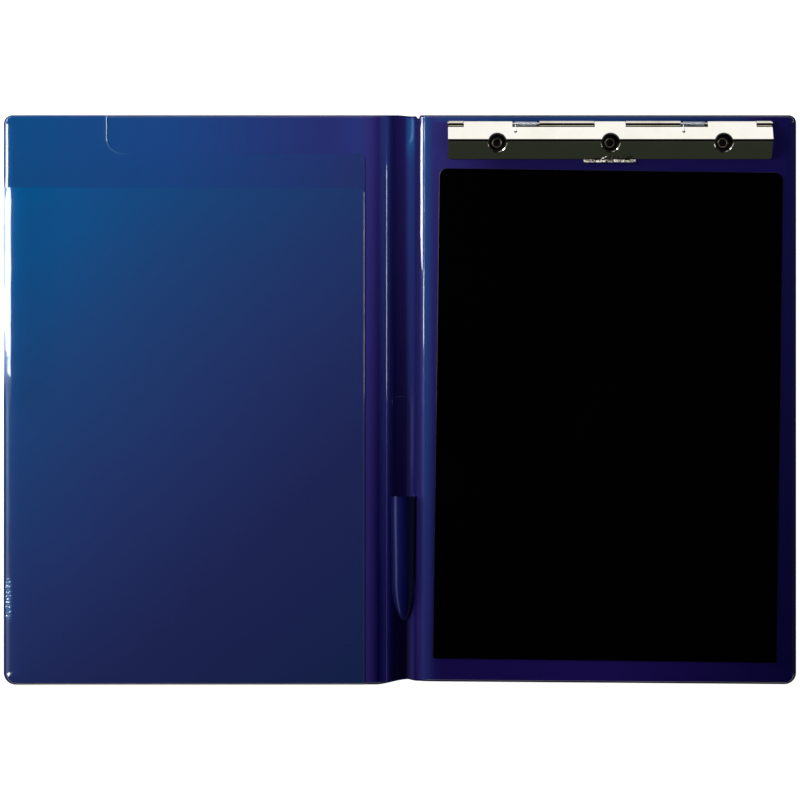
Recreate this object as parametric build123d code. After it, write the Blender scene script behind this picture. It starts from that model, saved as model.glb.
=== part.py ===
from build123d import *
import math
import os

# Open A4 folder clipboard, lying flat with its inside upwards. Millimetres.
# X runs across the open folder, Y towards the clamp end, Z up from the outer film.
# The origin is the middle of the underside.

# Open folder, from the cover's free edge to the back panel's free edge
folder_height = 340.8
cover_width = 229.2
spine_width = 19.6
panel_width = 225.2
spine_top_drop = 1.0
spine_bottom_drop = 2.0

# Film and board
film = 0.4
board = 2.0
weld_rim = 1.0
edge_run = 1.6
edge_round = 0.9
board_clearance = 0.1
cover_groove = 3.4
panel_groove = 1.0
fold_gap = 0.1
cover_corner_top = 5.2
cover_corner_bottom = 7.2
panel_corner_top = 4.5
panel_corner_bottom = 7.0
groove_corner = 2.0
small_corner = 0.6

# Pocket in the front cover: a tall sheet and a short sheet over it
pocket_film = 0.25
pocket_gap = 0.05
tall_sheet_right = 13.2
tall_sheet_drop = 22.9
short_sheet_right = 13.6
short_sheet_drop = 43.5
pocket_corner = 3.0
notch_from_edge = 61.8
notch_radius = 9.5

# Pen sheath on the spine
sheath_width = 15.6
sheath_rise = 5.4
sheath_from_panel = 1.8
sheath_flange = 1.0
sheath_mouth_drop = 227.9
sheath_straight = 46.0
sheath_tip = 28.0
sheath_end_width = 4.0
sheath_end_rise = 1.4
sheath_end_wall = 0.8
backing_film = 0.3
backing_width = 10.2
backing_above_mouth = 59.7

# Writing plate, laid on a little askew, clockwise by the turn in degrees
plate_width = 205.4
plate_height = 292.8
plate_turn = 0.75
plate_thickness = 0.5
plate_from_groove = 9.8
plate_from_bottom = 14.8
plate_corner_top = 4.8
plate_corner_bottom = 1.0

# Clamp: hinge pin and knuckles
clamp_centre_from_groove = 113.4
pin_from_top = 5.9
pin_radius = 1.0
pin_head_radius = 1.6
pin_head = 0.5
knuckle_clearance = 0.05
knuckle_end_gap = 0.25
base_sheet = 1.0
lever_sheet = 0.8
base_roll_angle = 275.0
lever_roll_angle = 290.0
end_knuckle = 8.8
lever_knuckle = 29.4
spring_window = 15.9
inner_knuckle = 32.7
middle_knuckle = 18.8

# Clamp: lever and base plate
lever_overhang = 0.4
ridge_reach = 10.2
ridge_rise = 7.0
ridge_bend = 1.6
jaw_reach = 20.35
jaw_gap = 0.15
lever_corner = 1.5
window_clearance = 0.05
access_hole = 11.4
tab_width = 31.0
tab_start = 1.2
tab_bend = 2.0
tab_lift = 30.0
tab_lip = 1.2
tab_corner = 1.0
base_reach = 17.5
base_notch_clearance = 0.45
base_corner = 2.0

# Rivets
rivet_spacing = 67.3
rivet_reach = 11.0
rivet_shank = 4.0
rivet_bore = 3.2
rivet_flange = 6.4
rivet_flange_height = 0.8
rivet_head = 8.0
rivet_clearance = 0.1
rivet_floor = 0.6

# Torsion springs
spring_wire = 0.7
spring_groove_pitch = 1.5
spring_clearance = 0.1
spring_end_gap = 1.2
spring_bend = 0.7
spring_leg_rise = 25.0
spring_hook_reach = 6.4
spring_foot_rise = 30.0
spring_foot_reach = 9.0
spring_hole = 1.8

# Places that follow from the sizes
left_x = -(cover_width + spine_width + panel_width) / 2
right_x = -left_x
cover_axis_x = left_x + cover_width
spine_axis_x = cover_axis_x + spine_width
top_y = folder_height / 2
bottom_y = -top_y
lining_z = 2 * film
face_z = film + board + film
nose_radius = film
film_lean = film * (1 / math.sin(math.atan2(board, edge_run)) - edge_run / board)
board_inset = edge_run + film_lean + board_clearance
pin_y = top_y - pin_from_top
pin_bore = pin_radius + knuckle_clearance
pin_z = face_z + pin_bore + base_sheet
lever_mid = pin_bore + lever_sheet / 2
lever_roll = pin_bore + lever_sheet
window_reach = lever_roll + window_clearance
base_notch = lever_roll + base_notch_clearance
clamp_x = spine_axis_x + clamp_centre_from_groove
clamp_width = (
    2 * (end_knuckle + lever_knuckle + spring_window + inner_knuckle) + middle_knuckle
)
rivet_xs = [clamp_x + step * rivet_spacing for step in (-1, 0, 1)]
rivet_y = pin_y - rivet_reach


def rounded_plate(x0, x1, y0, y1, radii):
    """Rectangle with its own radius at each corner: top left, top right, bottom right, bottom left."""
    sheet = Pos((x0 + x1) / 2, (y0 + y1) / 2) * Rectangle(x1 - x0, y1 - y0)
    corners = [(x0, y1), (x1, y1), (x1, y0), (x0, y0)]
    for (x, y), radius in zip(corners, radii):
        sheet = fillet(sheet.vertices().sort_by_distance((x, y, 0))[0], radius)
    return sheet


def slab(sheet, z0, thickness):
    """A flat sketch raised to z0 and given a thickness."""
    return Pos(0, 0, z0) * extrude(sheet, thickness)


def tighter(radii, inset):
    """Corner radii of an outline drawn inset from another."""
    return [max(radius - inset, small_corner) for radius in radii]


def mound(span, radii, z0, z1, run):
    """Film formed over a board edge: a block whose sides lean in by run between z0 and z1."""
    x0, x1, y0, y1 = span
    foot = rounded_plate(x0, x1, y0, y1, radii)
    crown = rounded_plate(x0 + run, x1 - run, y0 + run, y1 - run, tighter(radii, run))
    return loft([Pos(0, 0, z0) * foot.face(), Pos(0, 0, z1) * crown.face()], ruled=True)


def grown(span, amount):
    """A span widened by amount on all four sides."""
    x0, x1, y0, y1 = span
    return (x0 - amount, x1 + amount, y0 - amount, y1 + amount)


def fold_nose(x, y0, y1, upper):
    """Quarter-round film edge on a fold axis, above or below the weld plane."""
    turn = 0 if upper else -90
    sector = make_face(
        [
            Line((0, 0), PolarLine((0, 0), nose_radius, turn) @ 1),
            CenterArc((0, 0), nose_radius, turn, 90),
            Line(PolarLine((0, 0), nose_radius, turn + 90) @ 1, (0, 0)),
        ]
    )
    face = Plane(origin=(x, y1, film), x_dir=(1, 0, 0), z_dir=(0, -1, 0)) * sector
    return extrude(face, y1 - y0)


class Leaf:
    """One boarded leaf of the folder: its outline, the mound of film over its board and its groove."""

    def __init__(self, x0, x1, radii, left_margin, right_margin):
        self.span = (x0, x1, bottom_y, top_y)
        self.radii = radii
        self.mound_span = (
            x0 + left_margin,
            x1 - right_margin,
            bottom_y + weld_rim,
            top_y - weld_rim,
        )
        self.mound_radii = tighter(radii, weld_rim)

    def outline(self):
        return rounded_plate(*self.span, self.radii)

    def outer_skin(self):
        return slab(self.outline(), 0, film)

    def board(self):
        span = grown(self.mound_span, -board_inset)
        radii = tighter(self.mound_radii, board_inset)
        return slab(rounded_plate(*span, radii), film, board)

    def raised(self, lift):
        """The mound grown by lift, square-edged, from the rim plane up."""
        return mound(
            grown(self.mound_span, lift),
            [radius + lift for radius in self.mound_radii],
            lining_z,
            face_z + lift,
            edge_run,
        )

    def lining(self):
        rim = slab(self.outline(), film, film)
        outer = self.raised(0)
        top_edges = outer.edges().filter_by(
            lambda edge: edge.bounding_box().min.Z > face_z - 0.001
        )
        outer = fillet(top_edges, edge_round)
        cavity = mound(
            grown(self.mound_span, -film_lean),
            self.mound_radii,
            film,
            film + board,
            edge_run,
        )
        return rim + outer - cavity

    def sheet_over(self, plan, gap, thickness, rim_level):
        """Film laid over the lining inside plan, and welded down on the rim."""
        trim = slab(plan, lining_z + rim_level, 2 * face_z)
        blanket = self.raised(gap + thickness) - self.raised(gap)
        rim = slab(self.outline(), lining_z + rim_level, thickness) - self.raised(gap)
        return (blanket + rim) & trim


front = Leaf(
    left_x,
    cover_axis_x,
    (cover_corner_top, small_corner, small_corner, cover_corner_bottom),
    weld_rim,
    cover_groove,
)
back = Leaf(
    spine_axis_x + nose_radius + fold_gap,
    right_x,
    (groove_corner, panel_corner_top, panel_corner_bottom, small_corner),
    panel_groove - nose_radius - fold_gap,
    weld_rim,
)


def tall_sheet_plan():
    """Pocket sheet outline with its J-shaped cut: full height at the left, lower to the right of it."""
    right = cover_axis_x - tall_sheet_right
    upper = top_y - tall_sheet_drop
    notch_x = left_x + notch_from_edge
    bend = notch_radius
    outline = [
        Line((left_x, bottom_y), (left_x, top_y)),
        Line((left_x, top_y), (notch_x, top_y)),
        Line((notch_x, top_y), (notch_x, upper + bend)),
        RadiusArc((notch_x, upper + bend), (notch_x + bend, upper), -bend),
        Line((notch_x + bend, upper), (right, upper)),
        Line((right, upper), (right, bottom_y)),
        Line((right, bottom_y), (left_x, bottom_y)),
    ]
    sheet = make_face(outline)
    corner = sheet.vertices().sort_by_distance((right, upper, 0))[0]
    return fillet(corner, pocket_corner)


def short_sheet_plan():
    right = cover_axis_x - short_sheet_right
    upper = top_y - short_sheet_drop
    radii = (small_corner, pocket_corner, small_corner, small_corner)
    return rounded_plate(left_x, right, bottom_y, upper, radii)


def spine_film(upper):
    """One film of the spine, its right edge rounded on the fold beside the back panel."""
    x0 = cover_axis_x + nose_radius + fold_gap
    y0 = bottom_y + spine_bottom_drop
    y1 = top_y - spine_top_drop
    radii = (small_corner, small_corner, small_corner, small_corner)
    sheet = slab(rounded_plate(x0, spine_axis_x, y0, y1, radii), film if upper else 0, film)
    nose = fold_nose(spine_axis_x, y0 + small_corner, y1 - small_corner, upper)
    return sheet + nose


def cover_nose(upper):
    return fold_nose(cover_axis_x, bottom_y + small_corner, top_y - small_corner, upper)


sheath_centre_x = spine_axis_x - sheath_from_panel - sheath_width / 2
sheath_mouth_y = top_y - sheath_mouth_drop
sheath_shoulder_y = sheath_mouth_y - sheath_straight
sheath_tip_y = sheath_shoulder_y - sheath_tip


def arch(y, width, rise):
    """Circular-segment face standing across the spine at y, on the lining."""
    half = width / 2
    line = [
        Line((-half, 0), (half, 0)),
        ThreePointArc((half, 0), (0, rise), (-half, 0)),
    ]
    stand = Plane(origin=(sheath_centre_x, y, lining_z), x_dir=(1, 0, 0), z_dir=(0, -1, 0))
    return (stand * make_face(line)).face()


def taper(share, full, end):
    """Quarter-ellipse fall from full to end as share goes from 0 to 1."""
    return end + (full - end) * math.sqrt(1 - share**2)


def sheath_form(width, rise, end_width, end_rise, y1, tip):
    """Half-tube that runs straight and then closes down to a rounded point."""
    straight = extrude(arch(y1, width, rise), y1 - sheath_shoulder_y)
    sections = [
        arch(
            sheath_shoulder_y - share * tip,
            taper(share, width, end_width),
            taper(share, rise, end_rise),
        )
        for share in (0, 0.35, 0.65, 0.87, 1)
    ]
    return straight + loft(sections)


def sheath_foot():
    """Plan outline of the weld flange round the sheath."""
    half = sheath_width / 2 + sheath_flange
    end = sheath_end_width / 2 + sheath_flange
    x = sheath_centre_x
    tip_y = sheath_tip_y - sheath_flange
    turn_y = sheath_shoulder_y - 0.6 * sheath_tip
    turn = 0.85 * half
    side = Spline((half, sheath_shoulder_y), (turn, turn_y), (end, tip_y), tangents=((0, -1), (-1, -1)))
    other = Spline((-end, tip_y), (-turn, turn_y), (-half, sheath_shoulder_y), tangents=((-1, 1), (0, 1)))
    outline = [
        Line((-half, sheath_shoulder_y), (-half, sheath_mouth_y)),
        Line((-half, sheath_mouth_y), (half, sheath_mouth_y)),
        Line((half, sheath_mouth_y), (half, sheath_shoulder_y)),
        side,
        Line((end, tip_y), (-end, tip_y)),
        other,
    ]
    return Pos(x, 0) * make_face(outline)


def pen_sheath():
    skin = sheath_form(
        sheath_width,
        sheath_rise,
        sheath_end_width,
        sheath_end_rise,
        sheath_mouth_y,
        sheath_tip,
    )
    hollow = sheath_form(
        sheath_width - 2 * film,
        sheath_rise - film,
        sheath_end_width - 2 * film,
        sheath_end_rise - film,
        sheath_mouth_y + sheath_flange,
        sheath_tip - sheath_end_wall,
    )
    return skin + slab(sheath_foot(), lining_z, film) - hollow


def sheath_backing():
    """Film strip on the spine behind the sheath, with a rounded upper end."""
    half = backing_width / 2
    x = sheath_centre_x - sheath_width / 2 + film + backing_film + half
    top = sheath_mouth_y + backing_above_mouth
    radii = (half * 0.8, half * 0.8, small_corner, small_corner)
    strip = rounded_plate(x - half, x + half, sheath_shoulder_y, top, radii)
    return slab(strip, lining_z, backing_film)


def writing_plate():
    half_x = plate_width / 2
    half_y = plate_height / 2
    radii = (plate_corner_top, plate_corner_top, plate_corner_bottom, plate_corner_bottom)
    plan = rounded_plate(-half_x, half_x, -half_y, half_y, radii)
    x = spine_axis_x + plate_from_groove + half_x
    y = bottom_y + plate_from_bottom + half_y
    return slab(Pos(x, y) * Rot(0, 0, -plate_turn) * plan, face_z, plate_thickness)


def bent_strip(start, heading, moves, thickness):
    """Profile of bent sheet metal: straight runs (length, 0) and bends (mid-line radius, turn in degrees)."""
    left, right = [], []
    x, y = start
    half = thickness / 2
    for size, turn in moves:
        normal = (-math.sin(math.radians(heading)), math.cos(math.radians(heading)))
        if turn == 0:
            step = (size * math.cos(math.radians(heading)), size * math.sin(math.radians(heading)))
            for side, sign in ((left, 1), (right, -1)):
                a = (x + sign * half * normal[0], y + sign * half * normal[1])
                side.append(Line(a, (a[0] + step[0], a[1] + step[1])))
            x, y = x + step[0], y + step[1]
            continue
        way = math.copysign(1, turn)
        centre = (x + way * size * normal[0], y + way * size * normal[1])
        from_angle = heading - 90 * way
        for side, sign in ((left, 1), (right, -1)):
            side.append(CenterArc(centre, size - sign * way * half, from_angle, turn))
        heading += turn
        x = centre[0] + size * math.cos(math.radians(heading - 90 * way))
        y = centre[1] + size * math.sin(math.radians(heading - 90 * way))
    ends = [Line(left[0] @ 0, right[0] @ 0), Line(left[-1] @ 1, right[-1] @ 1)]
    return make_face(left + right + ends)


def along_pin(profile, x0, x1):
    """Extrude a profile drawn as (distance in front of the pin, height above it) from x0 to x1."""
    stand = Plane(origin=(x1, pin_y, pin_z), x_dir=(0, -1, 0), z_dir=(-1, 0, 0))
    return extrude(stand * profile, x1 - x0)


def knuckle_spans():
    """X spans along the hinge: base knuckles, lever knuckles and spring windows."""
    half = [
        ("lever", middle_knuckle / 2),
        ("base", inner_knuckle),
        ("spring", spring_window),
        ("lever", lever_knuckle),
        ("base", end_knuckle),
    ]
    spans = {"base": [], "lever": [], "spring": []}
    reach = middle_knuckle / 2
    spans["lever"].append((clamp_x - reach, clamp_x + reach))
    for kind, length in half[1:]:
        spans[kind].append((clamp_x + reach, clamp_x + reach + length))
        spans[kind].append((clamp_x - reach - length, clamp_x - reach))
        reach += length
    return {kind: sorted(found) for kind, found in spans.items()}


spans = knuckle_spans()

# Slope of the lever's rear facet: the tangent from the ridge to the knuckle's mid-line circle
ridge_distance = math.hypot(ridge_reach, ridge_rise)
rear_slope = math.degrees(
    math.atan2(ridge_rise, ridge_reach) - math.asin(lever_mid / ridge_distance)
)
jaw_height = face_z + jaw_gap - pin_z
front_slope = math.degrees(math.atan2(ridge_rise - jaw_height, jaw_reach - ridge_reach))
jaw_mid = jaw_height + lever_sheet / 2 * math.cos(math.radians(front_slope))
front_slope = math.degrees(math.atan2(ridge_rise - jaw_mid, jaw_reach - ridge_reach))
ridge_turn = rear_slope + front_slope
ridge_setback = ridge_bend * math.tan(math.radians(ridge_turn / 2))
rear_run = math.sqrt(ridge_distance**2 - lever_mid**2) - ridge_setback
front_run = math.hypot(jaw_reach - ridge_reach, ridge_rise - jaw_mid) - ridge_setback

# How far the thumb tab's end stands in front of the pin
tab_reach = (
    jaw_reach
    - tab_start * math.cos(math.radians(front_slope))
    + tab_bend * (math.sin(math.radians(front_slope)) + math.sin(math.radians(tab_lift)))
    + tab_lip * math.cos(math.radians(tab_lift))
    + lever_sheet / 2 * math.sin(math.radians(tab_lift))
)


def from_facet(along, above):
    """A point given along and above the rear facet's line through the pin, as (in front, height)."""
    angle = math.radians(rear_slope)
    return (
        along * math.cos(angle) - above * math.sin(angle),
        along * math.sin(angle) + above * math.cos(angle),
    )


def lever_profile(front_moves):
    """Knuckle roll, rear facet, ridge bend and front facet."""
    start_angle = math.radians(rear_slope + 90 + lever_roll_angle)
    start = (lever_mid * math.cos(start_angle), lever_mid * math.sin(start_angle))
    moves = [
        (lever_mid, -lever_roll_angle),
        (rear_run, 0),
        (ridge_bend, -ridge_turn),
    ]
    return bent_strip(start, rear_slope + lever_roll_angle, moves + front_moves, lever_sheet)


def clamp_lever():
    x0 = clamp_x - clamp_width / 2 - lever_overhang
    x1 = clamp_x + clamp_width / 2 + lever_overhang
    sheet = along_pin(lever_profile([(front_run, 0)]), x0, x1)
    depth = jaw_reach + ridge_bend
    plan = rounded_plate(
        x0, x1, pin_y - depth, pin_y + depth, (small_corner, small_corner, small_corner, small_corner)
    )
    sheet = sheet & slab(plan, 0, 4 * pin_z)
    front_y = pin_y - jaw_reach
    for x in (x0, x1):
        corners = [
            edge
            for edge in sheet.edges()
            if abs(edge.center().X - x) < 0.01 and abs(edge.center().Y - front_y) < lever_sheet
            and edge.length < lever_sheet * 1.01
        ]
        sheet = fillet(corners, lever_corner)
    tab_moves = [
        (front_run - tab_start, 0),
        (tab_bend, front_slope + tab_lift),
        (tab_lip, 0),
    ]
    tab = along_pin(lever_profile(tab_moves), clamp_x - tab_width / 2, clamp_x + tab_width / 2)
    tab_front = pin_y - tab_reach
    tab_back = pin_y - ridge_reach - ridge_bend
    corners = (small_corner, small_corner, tab_corner, tab_corner)
    tab_plan = rounded_plate(
        clamp_x - tab_width / 2, clamp_x + tab_width / 2, tab_front, tab_back, corners
    )
    lever = sheet + (tab & slab(tab_plan, 0, 4 * pin_z))
    roll = 2 * lever_roll
    for kind in ("base", "spring"):
        for a, b in spans[kind]:
            wide = knuckle_end_gap
            cut = Box(b - a + 2 * wide, roll + window_reach, 4 * roll)
            lever -= Pos((a + b) / 2, pin_y - window_reach + (roll + window_reach) / 2, pin_z) * cut
    for x in (x0, x1):
        cut = Box(2 * (lever_overhang + end_knuckle), roll + window_reach, 4 * roll)
        lever -= Pos(x, pin_y - window_reach + (roll + window_reach) / 2, pin_z) * cut
    for x in rivet_xs:
        lever -= Pos(x, rivet_y, pin_z) * Cylinder(access_hole / 2, 4 * ridge_rise)
    for spring in springs:
        hook = from_facet(spring_hook_reach, 0)
        hole = Rot(90 - rear_slope, 0, 0) * Cylinder(spring_hole / 2, 4 * lever_sheet + 2 * lever_mid)
        lever -= Pos(spring.hook_x, pin_y - hook[0], pin_z + hook[1]) * Rot(-90, 0, 0) * hole
    return lever


def clamp_base():
    """Flat plate under the lever, with four knuckles rolled up round the pin."""
    roll_mid = pin_bore + base_sheet / 2
    x0 = clamp_x - clamp_width / 2
    x1 = clamp_x + clamp_width / 2
    radii = (small_corner, small_corner, base_corner, base_corner)
    plan = rounded_plate(x0, x1, pin_y - base_reach, pin_y - base_notch, radii)
    base = slab(plan, face_z, base_sheet)
    knuckle = bent_strip(
        (base_notch + base_sheet, -roll_mid),
        180,
        [(base_notch + base_sheet, 0), (roll_mid, -base_roll_angle)],
        base_sheet,
    )
    for a, b in spans["base"]:
        base += along_pin(knuckle, a, b)
    for x in rivet_xs:
        base -= Pos(x, rivet_y, face_z) * Cylinder(
            (rivet_shank + rivet_clearance) / 2, 4 * base_sheet
        )
    return base


def hinge_pin():
    """Straight pin with a flattened head outside each end knuckle."""
    half = clamp_width / 2 + lever_overhang / 2
    outline = make_face(
        Polyline(
            (0, -half - pin_head),
            (pin_head_radius, -half - pin_head),
            (pin_head_radius, -half),
            (pin_radius, -half),
            (pin_radius, half),
            (pin_head_radius, half),
            (pin_head_radius, half + pin_head),
            (0, half + pin_head),
            close=True,
        )
    )
    pin = revolve(outline, Axis.Y)
    return Pos(clamp_x, pin_y, pin_z) * Rot(0, 0, -90) * pin


def rivet():
    """Tubular rivet: solid head under the board, hollow shank, end rolled over on the base plate."""
    seat = face_z + base_sheet
    shank = rivet_shank / 2
    flange = rivet_flange / 2
    head = rivet_head / 2
    curl = rivet_flange_height
    outline = [
        Line((0, 0), (head - film, 0)),
        RadiusArc((head - film, 0), (head, film), -film),
        Line((head, film), (shank, film)),
        Line((shank, film), (shank, seat)),
        Line((shank, seat), (flange, seat)),
        RadiusArc((flange, seat), (rivet_bore / 2, seat + curl), -(flange - rivet_bore / 2)),
        Line((rivet_bore / 2, seat + curl), (rivet_bore / 2, film + rivet_floor)),
        Line((rivet_bore / 2, film + rivet_floor), (0, film + rivet_floor)),
        Line((0, film + rivet_floor), (0, 0)),
    ]
    return revolve(Plane.XZ * make_face(outline), Axis.Z)


class Spring:
    """Close-wound torsion spring round the pin: hooked leg over the lever, foot on the base plate."""

    def __init__(self, window):
        a, b = window
        self.x0 = a + spring_end_gap
        self.x1 = b - spring_end_gap
        self.mean = pin_radius + spring_clearance + spring_wire / 2
        self.hook_x = self.x0 + spring_wire / 2
        self.foot_x = self.x1 - spring_wire / 2

    def coil(self):
        """Coil as a sleeve with a groove for every second turn of wire."""
        ribs = round((self.x1 - self.x0) / spring_groove_pitch)
        pitch = (self.x1 - self.x0) / ribs
        inner = self.mean - spring_wire / 2
        outer = self.mean + spring_wire / 2
        valley = self.mean + spring_wire / 8
        points = [(inner, 0), (valley, 0)]
        for rib in range(ribs):
            points.append((outer, (rib + 0.5) * pitch))
            points.append((valley, (rib + 1) * pitch))
        points.append((inner, ribs * pitch))
        sleeve = revolve(make_face(Polyline(*points, close=True)), Axis.Y)
        return Pos(self.x0, pin_y, pin_z) * Rot(0, 0, -90) * sleeve

    def wire(self, x, points):
        """Round wire along points given as (in front of the pin, height above it)."""
        run = [(x, pin_y - ahead, pin_z + height) for ahead, height in points]
        path = FilletPolyline(*run, radius=spring_bend)
        section = Plane(origin=path @ 0, z_dir=path % 0) * Circle(spring_wire / 2)
        return sweep(section, path)

    def tangent_start(self, angle, below):
        """Point on the mean coil circle where the wire leaves at angle to the horizontal."""
        side = -1 if below else 1
        turn = math.radians(angle)
        return (-side * self.mean * math.sin(turn), side * self.mean * math.cos(turn))

    def build(self):
        over = lever_mid + lever_sheet / 2 + spring_clearance + spring_wire / 2
        start = self.tangent_start(rear_slope + spring_leg_rise, below=False)
        rise = over - self.mean * math.cos(math.radians(spring_leg_rise))
        ahead = rise / math.tan(math.radians(spring_leg_rise))
        knee = ahead - self.mean * math.sin(math.radians(spring_leg_rise))
        hook = [
            start,
            from_facet(knee, over),
            from_facet(spring_hook_reach, over),
            from_facet(spring_hook_reach, pin_bore - spring_wire),
        ]
        foot_level = -(pin_bore + spring_clearance / 2) + spring_wire / 2 + spring_clearance / 2
        foot_start = self.tangent_start(spring_foot_rise, below=True)
        run = (foot_level - foot_start[1]) / math.tan(math.radians(spring_foot_rise))
        foot = [
            foot_start,
            (foot_start[0] + run, foot_level),
            (spring_foot_reach, foot_level),
        ]
        return self.coil() + self.wire(self.hook_x, hook) + self.wire(self.foot_x, foot)


springs = [Spring(window) for window in spans["spring"]]


def drilled(leaf_part, diameter):
    """Holes for the rivets through one layer of the back panel."""
    for x in rivet_xs:
        leaf_part -= Pos(x, rivet_y, 0) * Cylinder(diameter / 2, 4 * face_z)
    return leaf_part


shank_hole = rivet_shank + rivet_clearance
head_hole = rivet_head + 2 * rivet_clearance

nodes = {
    "front_outer_skin": front.outer_skin() + cover_nose(False),
    "front_board": front.board(),
    "front_lining": front.lining() + cover_nose(True),
    "pocket_tall_sheet": front.sheet_over(tall_sheet_plan(), pocket_gap, pocket_film, 0),
    "pocket_short_sheet": front.sheet_over(
        short_sheet_plan(), 2 * pocket_gap + pocket_film, pocket_film, pocket_film
    ),
    "spine_outer_skin": spine_film(False),
    "spine_lining": spine_film(True),
    "pen_sheath_backing": sheath_backing(),
    "pen_sheath": pen_sheath(),
    "back_outer_skin": drilled(back.outer_skin(), head_hole),
    "back_board": drilled(back.board(), shank_hole),
    "back_lining": drilled(back.lining(), shank_hole),
    "writing_plate": writing_plate(),
    "clamp_base": clamp_base(),
    "hinge_pin": hinge_pin(),
    "rivets": Compound([Pos(x, rivet_y, 0) * rivet().solid() for x in rivet_xs]),
    "spring_left": springs[0].build(),
    "spring_right": springs[1].build(),
    "clamp_lever": clamp_lever(),
}

os.makedirs("parts", exist_ok=True)
for name, shape in nodes.items():
    export_step(shape, f"parts/{name}.step")
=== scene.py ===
"""Looks of an open clipboard folder: two film-covered leaves, a spine with a pen sheath, and a spring clamp.

Sizes in the classes are millimetres in the frame of the CAD part, and meshes are written in metres.
"""

import logging
import math
from collections.abc import Callable, Sequence
from dataclasses import dataclass, fields
from enum import Enum
from functools import partial

import bpy
import numpy as np
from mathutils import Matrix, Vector

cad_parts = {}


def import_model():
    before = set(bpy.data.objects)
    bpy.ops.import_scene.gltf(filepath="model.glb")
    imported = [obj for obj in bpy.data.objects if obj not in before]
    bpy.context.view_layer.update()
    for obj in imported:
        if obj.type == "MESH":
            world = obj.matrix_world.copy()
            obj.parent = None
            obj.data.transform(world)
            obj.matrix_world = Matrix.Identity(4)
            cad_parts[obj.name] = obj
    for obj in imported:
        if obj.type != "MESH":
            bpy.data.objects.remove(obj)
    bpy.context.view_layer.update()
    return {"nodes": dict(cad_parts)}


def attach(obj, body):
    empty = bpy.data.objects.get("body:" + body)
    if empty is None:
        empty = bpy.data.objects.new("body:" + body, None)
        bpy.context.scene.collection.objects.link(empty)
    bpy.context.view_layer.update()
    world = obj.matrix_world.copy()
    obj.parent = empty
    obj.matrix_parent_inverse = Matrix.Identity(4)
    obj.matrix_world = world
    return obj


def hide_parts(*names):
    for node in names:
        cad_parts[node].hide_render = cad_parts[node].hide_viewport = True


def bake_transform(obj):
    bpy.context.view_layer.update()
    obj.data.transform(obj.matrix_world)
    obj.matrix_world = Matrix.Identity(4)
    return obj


Array = np.ndarray
Grid = tuple[Array, Array]
Pair = tuple[float, float]
Place = tuple[float, float, float]
Colour = tuple[float, float, float, float]
Stops = Sequence[tuple[float, str]]
Adder = Callable[..., bpy.types.Node]
Materials = dict[str, bpy.types.Material]

MM = 0.001
FRAME_PIXELS = 800
# Distances of the grid lines near an end, and the run over which rows are squeezed into a round corner.
EDGE_LINES = np.array(
    [0, 0.03, 0.08, 0.16, 0.5, 0.9, 1, 1.08, 1.2, 1.4, 1.7, 2.1, 2.5, 3, 3.5, 4.1, 4.8, 5.6, 6.6, 8, 10, 13]
)
END_RUN = 16.0
SQUEEZE = 15.0
FILM_STEP = 6.0
# Height at which the two films meet, the rounding of their cut edge, and the board's lower and upper side.
WELD_Z = 0.4
FILM_ROUNDING = 0.06
BOARD_Z = (0.42, 2.2)
# The lever's hole rims: places along X and Y, and the slope of the facet behind the ridge in degrees.
HOLES_X = (57.9, 125.2, 192.5)
HOLES_Y = 153.5
REAR_SLOPE = 27.73

log = logging.getLogger("clipboard_folder")


class Body(Enum):
    """The bodies of the CAD part that pieces ride on."""

    BACK_PANEL = "back_panel"
    SPINE = "spine"
    FRONT_COVER = "front_cover"
    CLAMP_LEVER = "clamp_lever"


# Numbers, curves and grids


def linear(code: str) -> Colour:
    """Turns an sRGB hex value into linear colour.

    Args:
        code: The colour as "#RRGGBB".

    Returns:
        Red, green, blue and an alpha of one.
    """
    parts = [int(code[i : i + 2], 16) / 255 for i in (1, 3, 5)]
    red, green, blue = (p / 12.92 if p <= 0.04045 else ((p + 0.055) / 1.055) ** 2.4 for p in parts)
    return red, green, blue, 1.0


def ease(low: float | Array, high: float | Array, value: Array) -> Array:
    """Smooth step from 0 at low to 1 at high: three t squared less two t cubed."""
    t = np.clip((value - low) / (high - low), 0, 1)
    return t * t * (3 - 2 * t)


def corner_drop(distance: Array, radius: float) -> Array:
    """Drop of a round corner at a distance from its side: the radius less the height of a quarter circle."""
    inside = np.clip(radius - distance, 0, radius)
    return radius - np.sqrt(radius**2 - inside**2)


def ripple(x: Array, y: Array, length: float, phase: float) -> Array:
    """Slow waves of film that never lies quite flat: three sine waves that cross at odd angles.

    Args:
        x: Places along X.
        y: Places along Y.
        length: Wave length in millimetres.
        phase: Shift of the waves, so that two sheets differ.

    Returns:
        Heights between about -1 and 1.
    """
    k = 2 * math.pi / length
    first = np.sin(k * (0.8 * x + 0.5 * y) + phase)
    second = np.sin(k * (0.33 * x - 1.1 * y) + 2.1 * phase + 1.0)
    third = np.sin(k * (1.7 * x + 0.9 * y) + 0.7 * phase + 2.0)
    return 0.45 * first + 0.35 * second + 0.2 * third


def grid_lines(low: float, high: float, step: float, zones: Sequence[Array] = ()) -> Array:
    """Places of the lines of a grid: close together near both ends and in the zones, a step apart between.

    Args:
        low: First line.
        high: Last line.
        step: Distance between lines away from the ends.
        zones: Runs of lines that are kept as they are, in place of the others there.

    Returns:
        The places in rising order.
    """
    count = max(2, round((high - low - 2 * END_RUN) / step))
    middle = np.linspace(low + END_RUN, high - END_RUN, count)
    lines = np.concatenate([low + EDGE_LINES, middle, high - EDGE_LINES[::-1]])
    for zone in zones:
        lines = lines[(lines < zone[0] - 0.1) | (lines > zone[-1] + 0.1)]
    lines = np.unique(np.concatenate([lines, *zones]))
    return lines[(lines >= low) & (lines <= high)]


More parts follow.
